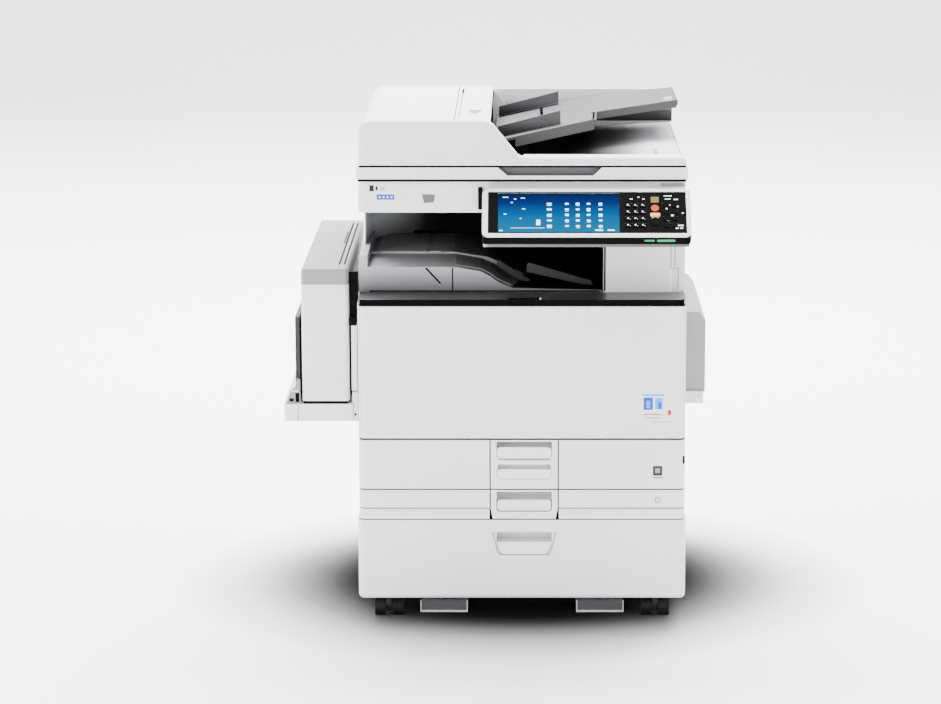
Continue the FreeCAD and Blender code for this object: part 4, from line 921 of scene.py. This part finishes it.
def contact_shade(tree):
    """Soft dark oval on the floor under the machine, where a broad light can't reach."""
    place = tree.nodes.new("ShaderNodeTexCoord")
    oval = tree.nodes.new("ShaderNodeMapping")
    oval.vector_type = "TEXTURE"
    oval.inputs["Location"].default_value = at(*SHADE_MIDDLE)
    oval.inputs["Scale"].default_value = (SHADE_WIDE * MM, SHADE_DEEP * MM, 1.0)
    tree.links.new(place.outputs["Object"], oval.inputs["Vector"])
    reach = tree.nodes.new("ShaderNodeVectorMath")
    reach.operation = "LENGTH"
    tree.links.new(oval.outputs["Vector"], reach.inputs[0])
    stops = [(position, (value,) * 3) for position, value in SHADE_STOPS]
    return ramp(tree, reach.outputs["Value"], stops)


def stage_floor():
    """Pale seamless sweep, flat far enough back for a camera behind the machine."""
    material, tree, shader = new_material("studio_floor")
    mottle = noise(tree, 0.6, 2.0)
    stops = ((0.3, (0.90, 0.90, 0.90)), (0.7, (0.92, 0.92, 0.92)))
    colour = times(tree, ramp(tree, mottle.outputs["Fac"], stops), contact_shade(tree))
    tree.links.new(colour, shader.inputs["Base Color"])
    shader.inputs["Roughness"].default_value = 0.85
    shader.inputs["Specular IOR Level"].default_value = 0.05
    mesh = bmesh.new()
    profile = [(-FLOOR_HALF, 0.0), (SWEEP_START, 0.0)]
    for step in range(1, SWEEP_STEPS + 1):
        angle = math.radians(90 * step / SWEEP_STEPS)
        back = SWEEP_START + SWEEP_RADIUS * math.sin(angle)
        profile.append((back, SWEEP_RADIUS - SWEEP_RADIUS * math.cos(angle)))
    profile.append((SWEEP_START + SWEEP_RADIUS, SWEEP_HIGH))
    rows = [[mesh.verts.new((x, y, z)) for x in (-FLOOR_HALF, FLOOR_HALF)] for y, z in profile]
    for near_row, far_row in zip(rows, rows[1:]):
        mesh.faces.new((near_row[0], near_row[1], far_row[1], far_row[0]))
    data = bpy.data.meshes.new("studio_floor")
    mesh.to_mesh(data)
    mesh.free()
    data.materials.append(material)
    for polygon in data.polygons:
        polygon.use_smooth = True
    floor = bpy.data.objects.new("studio_floor", data)
    bpy.context.scene.collection.objects.link(floor)


OVERHEAD_POWER = 1900
FRONT_POWER = 150
SURROUND = 2.65


def area_light(name, place, target, size, power, tint=(1.0, 1.0, 1.0)):
    light = bpy.data.lights.new(name, "AREA")
    light.shape = "RECTANGLE"
    light.size, light.size_y = size
    light.energy = power
    light.color = tint
    lamp = bpy.data.objects.new(name, light)
    bpy.context.scene.collection.objects.link(lamp)
    lamp.location = place
    lamp.rotation_mode = "QUATERNION"
    lamp.rotation_quaternion = (Vector(target) - Vector(place)).to_track_quat("-Z", "Y")


def stage_light():
    """A broad soft box overhead and behind, a weaker one at the front left, and a pale surround."""
    area_light("overhead", (0.0, 2.6, 4.6), (0.0, 1.2, 0.0), (6.0, 3.6), OVERHEAD_POWER)
    area_light("front_left", (-3.6, -3.6, 2.0), (0.0, 0.0, 0.5), (2.4, 2.4), FRONT_POWER)
    world = bpy.data.worlds.new("surround")
    world.use_nodes = True
    world.node_tree.nodes["Background"].inputs["Color"].default_value = (0.97, 0.98, 1.0, 1.0)
    world.node_tree.nodes["Background"].inputs["Strength"].default_value = SURROUND
    bpy.context.scene.world = world


CAMERA_BACK = 5200.0
CAMERA_HIGH = 1601.0
CAMERA_PITCH = math.radians(11.8)
CAMERA_LENS = 113.2
CAMERA_SHIFT = (-0.0547, 0.0)


def stage_camera():
    """Long lens, a little above the feeder and square to the front."""
    data = bpy.data.cameras.new("camera")
    data.sensor_width = 36.0
    data.lens = CAMERA_LENS
    data.shift_x, data.shift_y = CAMERA_SHIFT
    data.clip_start = 0.1
    data.clip_end = 100.0
    camera = bpy.data.objects.new("camera", data)
    bpy.context.scene.collection.objects.link(camera)
    camera.location = at(0, -CAMERA_BACK, CAMERA_HIGH)
    camera.rotation_euler = (math.radians(90) - CAMERA_PITCH, 0.0, 0.0)
    bpy.context.scene.camera = camera


dress_nodes()
paint_nodes()
screen_marks()
face_marks()
panel_underside()
scanner_marks()
bay_lining()
bay_guides()
feeder_details()
seals()
handles()
sticker()
front_marks()
side_unit_details()
exit_unit_marks()
stage_floor()
stage_light()
stage_camera()
